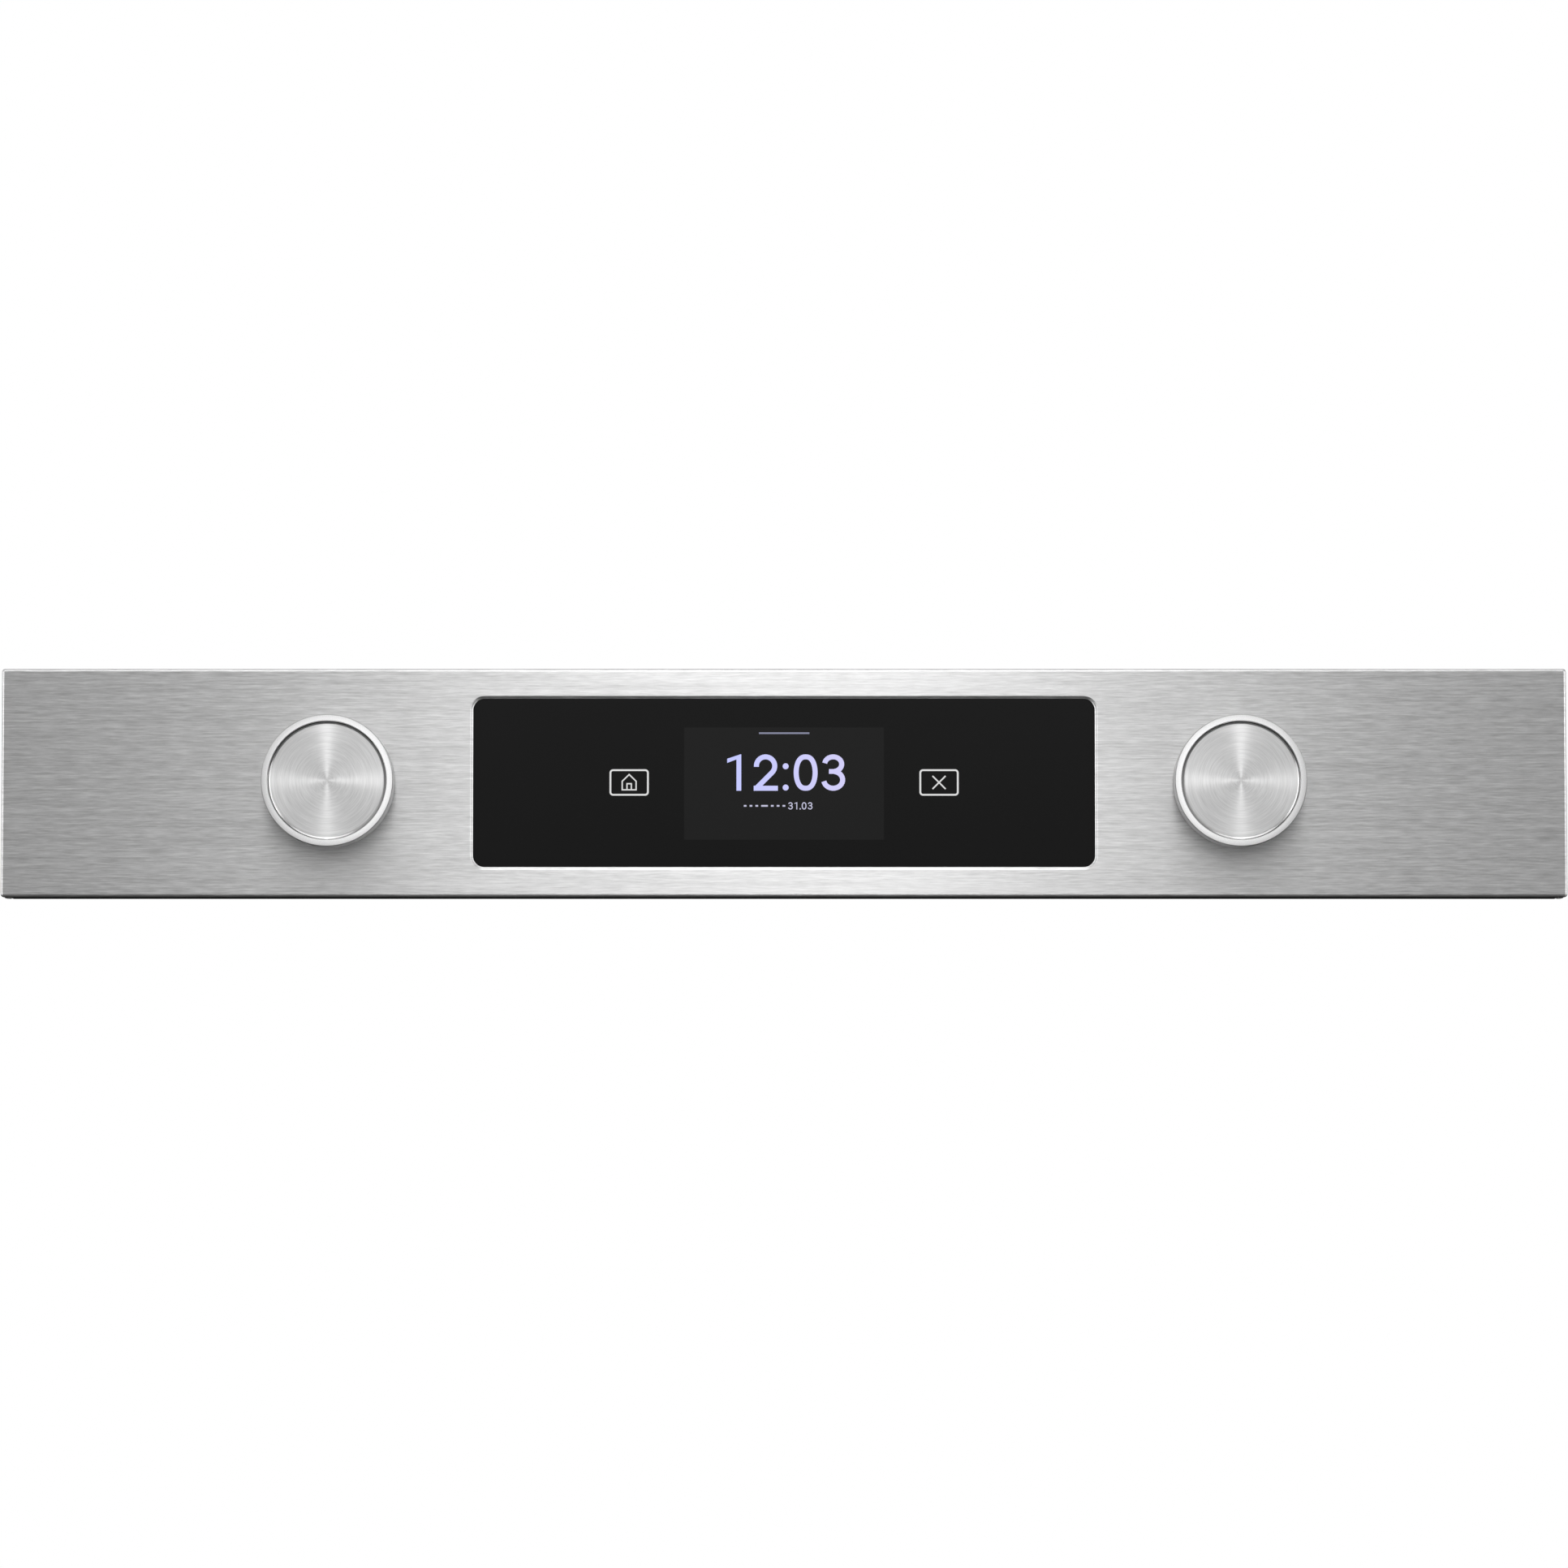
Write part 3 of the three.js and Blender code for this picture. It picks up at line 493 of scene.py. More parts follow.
def galvanised_sheet():
    """Hot-dip galvanised steel. Grey crystals of zinc, each a little lighter or darker and
    duller or brighter than the next."""
    material, tree, shader = new_material("galvanised sheet", Metallic=1.0)
    local = add(tree, "ShaderNodeTexCoord").outputs["Object"]
    crystals = add(tree, "ShaderNodeTexVoronoi", {"Vector": local, "Scale": 1 / 0.006})
    level = add(tree, "ShaderNodeSeparateColor", {"Color": crystals.outputs["Color"]})
    tint = ramp(tree, level.outputs["Red"], (
        (0.0, colour("#A5A8AA")), (1.0, colour("#B6B9BA"))))
    tree.links.new(tint, shader.inputs["Base Color"])
    dull = add(tree, "ShaderNodeMapRange", {
        "Value": level.outputs["Green"], "To Min": 0.46, "To Max": 0.54})
    tree.links.new(dull.outputs["Result"], shader.inputs["Roughness"])
    return material


def zinc_plate():
    """Bright zinc plating on small steel parts. Cool grey, half shiny, slightly cloudy."""
    material, tree, shader = new_material("zinc plate", Metallic=1.0)
    local = add(tree, "ShaderNodeTexCoord").outputs["Object"]
    cloud = add(tree, "ShaderNodeTexNoise", {"Vector": local, "Scale": 700.0, "Detail": 3.0})
    tint = ramp(tree, cloud.outputs["Fac"], ((0.3, colour("#AEB2B6")), (0.7, colour("#C6C9CC"))))
    tree.links.new(tint, shader.inputs["Base Color"])
    dull = add(tree, "ShaderNodeMapRange", {
        "Value": cloud.outputs["Fac"], "To Min": 0.25, "To Max": 0.4})
    tree.links.new(dull.outputs["Result"], shader.inputs["Roughness"])
    return material


def moulded(name, dark, light, roughness, grain=0.0008):
    """Plastic or rubber from a mould or die, whose fine texture takes off the shine. grain is
    the size of that texture in metres."""
    material, tree, shader = new_material(name, IOR=1.5)
    local = add(tree, "ShaderNodeTexCoord").outputs["Object"]
    spark = add(tree, "ShaderNodeTexNoise", {"Vector": local, "Scale": 1 / grain, "Detail": 2.0})
    tint = ramp(tree, spark.outputs["Fac"], ((0.3, colour(dark)), (0.7, colour(light))))
    tree.links.new(tint, shader.inputs["Base Color"])
    shader.inputs["Roughness"].default_value = roughness
    texture = add(tree, "ShaderNodeBump", {
        "Strength": 0.15, "Distance": 0.00004, "Height": spark.outputs["Fac"]})
    tree.links.new(texture.outputs["Normal"], shader.inputs["Normal"])
    return material


def solder_mask():
    """Green solder mask over copper tracks on glass epoxy. Glossy green, lighter where tracks
    run under it."""
    material, tree, shader = new_material("green solder mask", IOR=1.5)
    local = add(tree, "ShaderNodeTexCoord").outputs["Object"]
    tracks = add(tree, "ShaderNodeTexBrick", {
        "Vector": local, "Color1": colour("#1B5B38"), "Color2": colour("#1E6A41"),
        "Mortar": colour("#2C8454"), "Scale": 60.0, "Mortar Size": 0.02})
    tree.links.new(tracks.outputs["Color"], shader.inputs["Base Color"])
    weave = add(tree, "ShaderNodeTexNoise", {"Vector": local, "Scale": 900.0})
    level = add(tree, "ShaderNodeMapRange", {
        "Value": weave.outputs["Fac"], "To Min": 0.28, "To Max": 0.42})
    tree.links.new(level.outputs["Result"], shader.inputs["Roughness"])
    return material


FINISH = {
    "stainless": brushed_stainless(),
    "satin_ring": satin_stainless(),
    "spun_cap": spun_stainless(),
    "galvanised": galvanised_sheet(),
    "zinc_plate": zinc_plate(),
    "black_paint": powder_coat(),
    "display_glass": printed_glass(),
    "screen": moulded("liquid crystal cell", "#222226", "#262629", 0.2, 0.004),
    "black_plastic": moulded("black ABS", "#161617", "#1C1C1D", 0.5),
    "white_plastic": moulded("white nylon", "#DEDDD6", "#E8E7E1", 0.45),
    "circuit_board": solder_mask(),
    "chip": moulded("moulded epoxy", "#131313", "#191919", 0.45, 0.0004),
    "ribbon": moulded("polyester ribbon", "#CFC5A6", "#DCD3B8", 0.35, 0.003),
    "lead_jacket": moulded("PVC jacket", "#232326", "#2A2A2D", 0.5, 0.002),
    "rubber": moulded("black silicone rubber", "#0B0B0B", "#101010", 0.75, 0.0012),
}
SLOTS = {part["node"]: part["material_slot"] for part in frame["record"]["subparts"]}
for node_name, node in frame["nodes"].items():
    node.data.materials.clear()
    node.data.materials.append(FINISH[SLOTS[node_name]])


# ---- Fascia ---------------------------------------------------------------------------------

def pan(width, height, front, rear, bend):
    """A block with its front edges rolled to a radius, from front to rear."""
    corner = bend + 0.1
    steps = 8
    sections = []
    for step in range(steps + 1):
        angle = math.pi / 2 * step / steps
        inset = bend * (1 - math.sin(angle))
        depth = bend * (1 - math.cos(angle))
        outline = rounded_rectangle(
            width - 2 * inset, height - 2 * inset, corner - inset, steps=6)
        sections.append((outline, front + depth))
    sections.append((rounded_rectangle(width, height, corner, steps=6), rear))
    return loft(bmesh.new(), sections)


def edged_hole(outline_at, front, rear, profile, centre=(0.0, 0.0)):
    """A cutter that shapes the sheet's front edge; outline_at(extra) draws the hole enlarged by
    extra all round, and profile lists (extra, depth) from the face inwards."""
    sections = [(outline_at(profile[0][0]), front - 1.0)]
    sections += [(outline_at(extra), front + depth) for extra, depth in profile]
    sections.append((outline_at(0.0), rear))
    return loft(bmesh.new(), sections, centre)


def quarter_round(radius, steps=6):
    turns = (math.pi / 2 * step / steps for step in range(steps + 1))
    return [(radius * (1 - math.sin(a)), radius * (1 - math.cos(a))) for a in turns]


# Coined window edge from the face inwards, as (extra, depth): a shallow bevel, a steeper one, a
# second shallow one and the wall, with the turns between them eased.
COINED_EDGE = [
    (1.40, 0.0), (1.34, 0.02), (0.98, 0.17), (0.92, 0.21), (0.50, 0.60),
    (0.44, 0.64), (0.12, 0.78), (0.04, 0.84), (0.0, 0.98)]


def window_outline(extra):
    width, height, corner = WINDOW
    return rounded_rectangle(width + 2 * extra, height + 2 * extra, corner + extra, steps=12)


def fascia_sheet():
    inner_width = PANEL_WIDTH - 2 * SHEET
    inner_height = PANEL_HEIGHT - 2 * SHEET
    back = FACE_Y + SHEET
    lip = RETURN_REAR - SHEET
    mouth = rounded_rectangle(inner_width - 0.02, inner_height - 2 * LIP_WIDTH, 1.0, steps=4)
    through = RETURN_REAR + 2
    steps = [
        ("DIFFERENCE", pan(inner_width, inner_height, back, lip, 0.5)),
        ("DIFFERENCE", loft(bmesh.new(), [(mouth, lip - 1), (mouth, through)])),
        ("DIFFERENCE", block(bmesh.new(), (-LIP_BREAK / 2, lip - 1, -inner_height / 2),
                             (LIP_BREAK / 2, through, inner_height / 2))),
        ("DIFFERENCE", edged_hole(window_outline, FACE_Y, back + 1, COINED_EDGE)),
    ]
    for side in SIDES.values():
        steps.append(("DIFFERENCE", edged_hole(
            lambda extra: circle(SHAFT_HOLE_RADIUS + extra), FACE_Y, back + 1,
            quarter_round(0.3), (side * KNOB_X, 0.0))))
        bracket_low, bracket_high = span("end_bracket_" + ("right" if side > 0 else "left"))
        outer = bracket_high.x if side > 0 else bracket_low.x
        near, far = sorted((outer + side * 0.3, outer - side * 2.3))
        steps.append(("DIFFERENCE", block(
            bmesh.new(), (near, bracket_low.y - 0.3, -PANEL_HEIGHT / 2 - 1),
            (far, through, -inner_height / 2 + 0.5))))
        housing_stud = lathe(bmesh.new(), thread(1.5, 0.5, back - 0.1, HOUSING_STUD_TIP), 32)
        steps.append(("UNION", moved(housing_stud, x=side * HOUSING_STUD_X)))
        for end in ENDS.values():
            steps.append(("DIFFERENCE", loft(
                bmesh.new(), [(circle(2.1, 32), lip - 1), (circle(2.1, 32), through)],
                (side * SCREW_X, end * SCREW_Z))))
            end_stud = thread(2.0, 0.7, -inner_width / 2 - 0.1, END_STUD_TIP)
            bar = turned_to_x(lathe(bmesh.new(), end_stud, 32), -side)
            steps.append(("UNION", moved(bar, y=END_STUD_Y, z=end * END_STUD_Z)))
    sheet = pan(PANEL_WIDTH, PANEL_HEIGHT, FACE_Y, RETURN_REAR, BEND_RADIUS)
    return worked("fascia_sheet", sheet, steps)


fascia = fascia_sheet()
lay_grain(fascia)
mount(fascia, "panel", "stainless", FINISH["stainless"], "fascia")


# ---- Knobs ----------------------------------------------------------------------------------

def knurled_ring():
    """Skirt with straight knurling, a groove, and a proud rim with broken edges."""
    ridges, per_ridge = 216, 4
    steps = ridges * per_ridge
    depth = 0.22
    inner = 29.2
    slope = 0.16
    groove_rear = KNOB_FRONT + 3.7
    # (radius, y, share of the knurl's depth cut there)
    outline = [
        (inner, KNOB_REAR, 0), (KNOB_RADIUS - 0.7, KNOB_REAR, 0),
        (KNOB_RADIUS - 0.45, KNOB_REAR - 0.1, 0), (KNOB_RADIUS - 0.25, KNOB_REAR - 0.4, 0.2),
        (KNOB_RADIUS - 0.2, KNOB_REAR - 0.8, 1), (KNOB_RADIUS - 0.2, groove_rear + 0.5, 1),
        (KNOB_RADIUS - 0.25, groove_rear + 0.15, 0.2), (KNOB_RADIUS - 0.7, groove_rear - 0.15, 0),
        (KNOB_RADIUS - 0.7, groove_rear - 0.75, 0), (KNOB_RADIUS - 0.15, groove_rear - 0.95, 0),
        (KNOB_RADIUS, groove_rear - 1.15, 0), (KNOB_RADIUS, KNOB_FRONT + slope + 0.4, 0),
        (KNOB_RADIUS - 0.06, KNOB_FRONT + slope + 0.2, 0),
        (KNOB_RADIUS - 0.2, KNOB_FRONT + slope + 0.06, 0),
        (KNOB_RADIUS - 0.4, KNOB_FRONT + slope, 0), (RIM_INNER_RADIUS + 0.45, KNOB_FRONT, 0),
        (RIM_INNER_RADIUS + 0.22, KNOB_FRONT + 0.06, 0),
        (RIM_INNER_RADIUS + 0.06, KNOB_FRONT + 0.22, 0),
        (RIM_INNER_RADIUS, KNOB_FRONT + 0.45, 0), (RIM_INNER_RADIUS, CAP_REAR, 0),
        (inner, CAP_REAR, 0),
    ]
    bm = bmesh.new()
    rings = []
    for radius, y, share in outline:
        ring = []
        for k in range(steps):
            turn = 2 * math.pi * k / steps
            wave = 0.5 + 0.5 * math.cos(2 * math.pi * k / per_ridge)
            r = radius - share * depth * (1 - wave)
            ring.append(bm.verts.new((r * math.cos(turn), y, r * math.sin(turn))))
        rings.append(ring)
    for one, two in zip(rings, rings[1:] + rings[:1]):
        for i in range(steps):
            j = (i + 1) % steps
            bm.faces.new((one[i], one[j], two[j], two[i]))
    bmesh.ops.recalc_face_normals(bm, faces=bm.faces)
    return bm


def spun_cap():
    """Disc crowned by half a millimetre, that falls away to a bright chamfer round its rim."""
    crown, edge, bands = 0.45, 1.75, 14
    flat = CAP_RADIUS - edge
    outline = [(0.0, CAP_FACE - crown)]
    for band in range(1, bands + 1):
        radius = flat * band / bands
        outline.append((radius, CAP_FACE - crown * (1 - (radius / flat) ** 2)))
    outline += [(flat + 0.5, CAP_FACE + 0.03), (flat + 0.9, CAP_FACE + 0.09),
                (flat + 0.95, CAP_FACE + 0.1), (CAP_RADIUS - 0.05, CAP_FACE + 0.6),
                (CAP_RADIUS, CAP_FACE + 0.7), (CAP_RADIUS, CAP_REAR), (0.0, CAP_REAR)]
    return lathe(bmesh.new(), outline, 128)


KNOB_RINGS, KNOB_CAPS = {}, {}
for side_name, side in SIDES.items():
    axis = (side * KNOB_X, 0.0, 0.0)
    body = f"{side_name}_knob"
    ring = finished(f"knurled_ring_{side_name}", knurled_ring(), axis, 40.0)
    mount(ring, body, "satin_ring", FINISH["satin_ring"], f"knob_ring_{side_name}")
    cap = finished(f"spun_cap_{side_name}", spun_cap(), axis)
    mount(cap, body, "spun_cap", FINISH["spun_cap"], f"knob_cap_{side_name}")
    KNOB_RINGS[side_name], KNOB_CAPS[side_name] = ring, cap


# ---- Display --------------------------------------------------------------------------------

def glass_plate():
    """Glass with a ground and polished edge."""
    width, height = GLASS_HIGH.x - GLASS_LOW.x, GLASS_HIGH.z - GLASS_LOW.z
    front, rear = GLASS_LOW.y, GLASS_HIGH.y
    arris, corner = 0.4, 8.0

    def outline(inset):
        return rounded_rectangle(width - 2 * inset, height - 2 * inset, corner - inset, steps=10)

    return loft(bmesh.new(), [
        (outline(arris), front), (outline(0.12), front + 0.12), (outline(0.0), front + arris),
        (outline(0.0), rear - arris), (outline(0.12), rear - 0.12), (outline(arris), rear)])


glass = finished("printed_glass", glass_plate())
mount(glass, "panel", "display_glass", FINISH["display_glass"], "touch_glass")

MARK_Y = GLASS_LOW.y - 0.03


def stroke(bm, points, width, y=MARK_Y, closed=False):
    """A flat line of even width through points (x, z), mitred at its corners."""
    count = len(points)
    left, right = [], []
    for i, (x, z) in enumerate(points):
        before = points[i - 1] if i or closed else None
        after = points[(i + 1) % count] if i < count - 1 or closed else None
        here = Vector((x, z))
        sides = []
        if before is not None:
            sides.append((here - Vector(before)).normalized())
        if after is not None:
            sides.append((Vector(after) - here).normalized())
        along = sum(sides, Vector((0.0, 0.0))).normalized()
        across = Vector((-along.y, along.x))
        square = Vector((-sides[0].y, sides[0].x))
        reach = width / 2 / max(0.35, across.dot(square))
        for rail, way in ((left, 1), (right, -1)):
            spot = here + across * reach * way
            rail.append(bm.verts.new((spot.x, y, spot.y)))
    last = count if closed else count - 1
    for i in range(last):
        j = (i + 1) % count
        bm.faces.new((left[i], left[j], right[j], right[i]))
    return bm


def arc(centre, radii, start, end, steps=20):
    """Points along an ellipse's arc, angles in degrees."""
    turns = (math.radians(start + (end - start) * k / steps) for k in range(steps + 1))
    return [(centre[0] + radii[0] * math.cos(t), centre[1] + radii[1] * math.sin(t))
            for t in turns]


def digit(bm, figure, x, base, height):
    """One plain numeral drawn along its centre lines; x is the middle of its width."""
    pen = height * 0.137
    half = height * 0.26
    low, top = base + pen / 2, base + height - pen / 2
    over = MARK_Y - 0.004
    if figure == "0":
        reach = (top - low) / 2
        path = []
        for k in range(48):
            turn = 2 * math.pi * k / 48
            across = math.copysign(abs(math.cos(turn)) ** 0.8, math.cos(turn))
            path.append((x + half * across, base + height / 2 + reach * math.sin(turn)))
        stroke(bm, path, pen, closed=True)
    elif figure == "1":
        stem, left = x + height * 0.08, x - height * 0.24
        outline = [
            (stem - pen * 0.48, base), (stem + pen * 0.48, base),
            (stem + pen * 0.48, base + height), (stem + pen * 0.3, base + height),
            (left, base + height * 0.88), (left, base + height * 0.765),
            (stem - pen * 0.48, base + height * 0.86)]
        bm.faces.new([bm.verts.new((px, MARK_Y, pz)) for px, pz in outline])
    elif figure == "2":
        lobe, round_radius = Vector((x, top - half * 0.97)), half * 0.97
        corner = Vector((x - half * 0.95, low + pen * 0.05))
        way = lobe - corner
        lean = math.atan2(way.y, way.x) - math.asin(round_radius / way.length)
        path = arc(lobe, (round_radius, round_radius), 185, math.degrees(lean) - 90)
        stroke(bm, path + [tuple(corner)], pen)
        stroke(bm, [(x - half * 1.25, low), (x + half * 1.3, low)], pen, y=over)
    elif figure == "3":
        waist = base + height * 0.53
        upper, lower = (top - waist) / 2, (waist - low) / 2
        stroke(bm, arc((x, top - upper), (half * 0.9, upper), 172, -82), pen)
        stroke(bm, arc((x, low + lower), (half, lower), 82, -170), pen, y=over)
        stroke(bm, [(x - half * 0.45, waist), (x + half * 0.14, waist)], pen * 0.95,
               y=MARK_Y - 0.008)


def dot(bm, x, z, radius):
    ring = [bm.verts.new((x + a, MARK_Y, z + b)) for a, b in circle(radius, 24)]
    bm.faces.new(ring)


def clock():
    """Twelve hours three minutes, in the middle of the screen."""
    bm = bmesh.new()
    base, height = -3.75, 17.6
    for figure, x in (("1", -23.2), ("2", -8.9), ("0", 10.45), ("3", 23.75)):
        digit(bm, figure, x, base, height)
    for z in (-2.2, 8.1):
        dot(bm, 0.8, z, 1.45)
    return bm


def status_line():
    """Short line near the top of the screen."""
    return stroke(bmesh.new(), [(-12.1, 24.1), (12.25, 24.1)], 0.8)


def day_line():
    """Seven marks for the days of the week, one of them long, then day and month in numerals."""
    bm = bmesh.new()
    base, height = -12.8, 3.5
    middle = base + height / 2
    x = -19.4
    for day in range(7):
        length = 3.2 if day == 3 else 1.3
        stroke(bm, [(x, middle), (x + length, middle)], 0.8)
        x += length + 1.5
    x += 1.0
    for figure, advance in (("3", 2.8), ("1", 1.9), (".", 1.9), ("0", 2.9), ("3", 2.9)):
        if figure == ".":
            dot(bm, x, base + 0.3, 0.35)
        else:
            digit(bm, figure, x, base, height)
        x += advance
    return bm


def key_frame(bm, x):
    outline = rounded_rectangle(18.1, 11.9, 1.3, steps=6)
    stroke(bm, [(x + a, b + 0.25) for a, b in outline], 0.85, closed=True)


def home_symbol():
    """House in a rounded frame."""
    bm = bmesh.new()
    x = -74.75
    key_frame(bm, x)
    walls = [(x, 4.1), (x + 3.35, 0.85), (x + 3.35, -3.3), (x - 3.35, -3.3), (x - 3.35, 0.85)]
    stroke(bm, walls, 0.62, closed=True)
    door = [(x - 1.05, -3.3), (x - 1.05, -0.35), (x + 1.05, -0.35), (x + 1.05, -3.3)]
    stroke(bm, door, 0.62, y=MARK_Y - 0.004)
    return bm


def cancel_symbol():
    """Cross in a rounded frame."""
    bm = bmesh.new()
    x, reach = 74.85, 3.15
    key_frame(bm, x)
    stroke(bm, [(x - reach, reach + 0.25), (x + reach, 0.25 - reach)], 0.68)
    stroke(bm, [(x - reach, 0.25 - reach), (x + reach, reach + 0.25)], 0.68, y=MARK_Y - 0.004)
    return bm


def screen_field():
    """The faint grey field of the lit screen."""
    outline = rounded_rectangle(96.5, 54.3, 0.4, steps=3)
    bm = bmesh.new()
    bm.faces.new([bm.verts.new((x - 0.02, MARK_Y + 0.02, z - 0.25)) for x, z in outline])
    return bm


MARKS = {
    "screen_field": (screen_field, lit_mark("screen black level", "#111111", 1.0)),
    "clock_numerals": (clock, lit_mark("clock light", "#C3C8FF", 1.0, "#D2CEF8")),
    "status_line": (status_line, lit_mark("status light", "#85879E", 1.0)),
    "day_line": (day_line, lit_mark("day light", "#CDCDE6", 0.9)),
    "home_symbol": (home_symbol, lit_mark("home key light", "#DCDCDC", 1.0)),
    "cancel_symbol": (cancel_symbol, lit_mark("cancel key light", "#DCDCDC", 1.0)),
}
LIT_MARKS = [mount(finished(mark_name, draw()), "panel", "screen", light)
             for mark_name, (draw, light) in MARKS.items()]


# ---- Chassis and end brackets ---------------------------------------------------------------

def obround(length, width):
    return rounded_rectangle(length, width, width / 2 - 0.01, steps=6)


def chassis_tray():
    low, high = span("rear_chassis")
    flange = (high.x - low.x, high.z - low.z)
    width, height = 704.0, 84.0
    wall, bend, front, rear = 1.0, 1.5, low.y, high.y
    inset = [(bend * (1 - math.sin(a)), rear - bend * (1 - math.cos(a)))
             for a in (math.pi / 2 * k / 6 for k in range(6, -1, -1))]

    def box_section(grow, y):
        return rounded_rectangle(width + grow, height + grow, bend + grow / 2 + 0.6, steps=6), y

    outer = [box_section(0.0, front)] + [box_section(-2 * step, y) for step, y in inset]
    hollow = [
        box_section(-2 * wall, front - 1), box_section(-2 * wall, rear - wall - 0.5),
        box_section(-2 * wall - 0.3, rear - wall - 0.15), box_section(-2 * wall - 1, rear - wall)]
    plate = rounded_rectangle(*flange, 3.0)
    harness_hole, harness_centre = rounded_rectangle(40, 18, 2), (60, -10)
    steps = [
        ("UNION", loft(bmesh.new(), [(plate, front), (plate, front + wall)])),
        ("DIFFERENCE", loft(bmesh.new(), hollow)),
        ("DIFFERENCE", loft(bmesh.new(), [
            (harness_hole, rear - wall - 1), (harness_hole, rear + 1)], harness_centre)),
    ]
    slot_length, slot_width, pitch, first_row = 34.0, 2.6, 6.0, -18.0
    for x in (-250, -200, 200, 250):
        for row in range(3):
            outline = obround(slot_length, slot_width)
            slot_cutter = loft(bmesh.new(), [(outline, -2.0), (outline, 2.0)])
            bmesh.ops.rotate(slot_cutter, verts=slot_cutter.verts, cent=(0, 0, 0),
                             matrix=Matrix.Rotation(math.pi / 2, 3, "X"))
            y = first_row + row * pitch + slot_width / 2
            steps.append(("DIFFERENCE", moved(slot_cutter, x, y, height / 2 - wall / 2)))
    for side in SIDES.values():
        for end in ENDS.values():
            steps.append(("DIFFERENCE", loft(
                bmesh.new(), [(circle(2.1, 32), front - 1), (circle(2.1, 32), front + wall + 1)],
                (side * SCREW_X, end * SCREW_Z))))
    return worked("chassis_tray", loft(bmesh.new(), outer), steps)


def screw():
    """Pan-head sheet-metal screw about Y with its head towards +Y, and a cross recess."""
    seat = span("chassis_screw_left_lower")[1].y - 2.3
    shank = thread(1.8, 1.1, seat - 7.6, seat - 0.2)
    tip = [(0.0, seat - 9.0), (0.5, seat - 8.6)]
    head = [(1.7, seat), (3.7, seat), (3.8, seat + 0.12), (3.78, seat + 1.0), (3.62, seat + 1.45),
            (3.2, seat + 1.85), (2.4, seat + 2.15), (1.3, seat + 2.28), (0.0, seat + 2.3)]
    outline = tip + [point for point in shank if point[0] > 0] + head
    recess = []
    for turn in (0, 90):
        wing = bmesh.new()
        block(wing, (-2.0, seat + 0.7, -0.42), (2.0, seat + 3.0, 0.42))
        for vert in wing.verts:
            if vert.co.y < seat + 1:
                vert.co.x *= 0.35
                vert.co.z *= 0.8
        bmesh.ops.rotate(wing, verts=wing.verts, cent=(0, 0, 0),
                         matrix=Matrix.Rotation(math.radians(turn), 3, "Y"))
        recess.append(("DIFFERENCE", wing))
    return lathe(bmesh.new(), outline, 48), recess


def hex_nut(across_flats, bore, thickness, pitch):
    """Chamfered hexagon nut about Y, centred, with a threaded bore."""
    corner, half = across_flats / math.sqrt(3), thickness / 2
    drop = (corner - across_flats / 2) * 0.6
    hexagon = circle(corner, 6)
    rounded = lathe(bmesh.new(), [
        (0.0, -half), (across_flats / 2 - 0.1, -half), (corner + 0.01, -half + drop),
        (corner + 0.01, half - drop), (across_flats / 2 - 0.1, half), (0.0, half)], 64)
    hole = lathe(bmesh.new(), thread(bore + 0.25 * pitch, pitch, -half - pitch, half + pitch), 48)
    return loft(bmesh.new(), [(hexagon, -half), (hexagon, half)]), [
        ("INTERSECT", rounded), ("DIFFERENCE", hole)]


def placed(name, drawing, origin, turn=None):
    """A worked piece put at its place, turned about Z when turn is given."""
    base, steps = drawing
    piece = worked(name, base, steps)
    if turn:
        piece.data.transform(Matrix.Rotation(turn, 4, "Z"))
    piece.location = Vector(origin) * MM
    return piece


def centre_of(node):
    low, high = span(node)
    return (low + high) / 2


stand_for(chassis_tray(), "rear_chassis")
for side_name, side in SIDES.items():
    refined(f"end_bracket_{side_name}", 0.3)
    housing_nut = placed(f"m3_nut_{side_name}", hex_nut(5.5, 1.55, 2.4, 0.5),
                         centre_of(f"housing_nut_{side_name}"))
    stand_for(housing_nut, f"housing_nut_{side_name}")
    encoder_nut = placed(f"bushing_nut_{side_name}", hex_nut(12.0, 4.55, 2.0, 0.75),
                         centre_of(f"encoder_nut_{side_name}"))
    stand_for(encoder_nut, f"encoder_nut_{side_name}")
    for end_name, end in ENDS.items():
        nut = placed(f"m4_nut_{side_name}_{end_name}", hex_nut(7.0, 2.05, 3.0, 0.7),
                     centre_of(f"bracket_nut_{side_name}_{end_name}"), math.pi / 2)
        stand_for(nut, f"bracket_nut_{side_name}_{end_name}")
        pan_screw = placed(f"pan_screw_{side_name}_{end_name}", screw(),
                           (side * SCREW_X, 0.0, end * SCREW_Z))
        stand_for(pan_screw, f"chassis_screw_{side_name}_{end_name}")
trim = refined("lower_trim", 0.1)


# ---- Electronics behind the face ------------------------------------------------------------

def pins(name, boxes, body="panel"):
    """Tinned contacts, each a small block given by its corners, as one piece."""
    bm = bmesh.new()
    for low, high in boxes:
        block(bm, low, high)
    bmesh.ops.bevel(bm, geom=bm.edges, offset=0.06, segments=1, affect="EDGES")
    piece = finished(name, bm)
    return mount(piece, body, "zinc_plate", FINISH["zinc_plate"])


def header_pins():
    """Two rows of eight square pins standing in the harness header."""
    low, high = span("harness_header")
    middle = (low + high) / 2
    for row in (-1, 1):
        for place in range(8):
            x = middle.x + (place - 3.5) * 3.0
            z = middle.z + row * 1.25
            yield (x - 0.32, low.y + 2.9, z - 0.32), (x + 0.32, high.y - 1.2, z + 0.32)


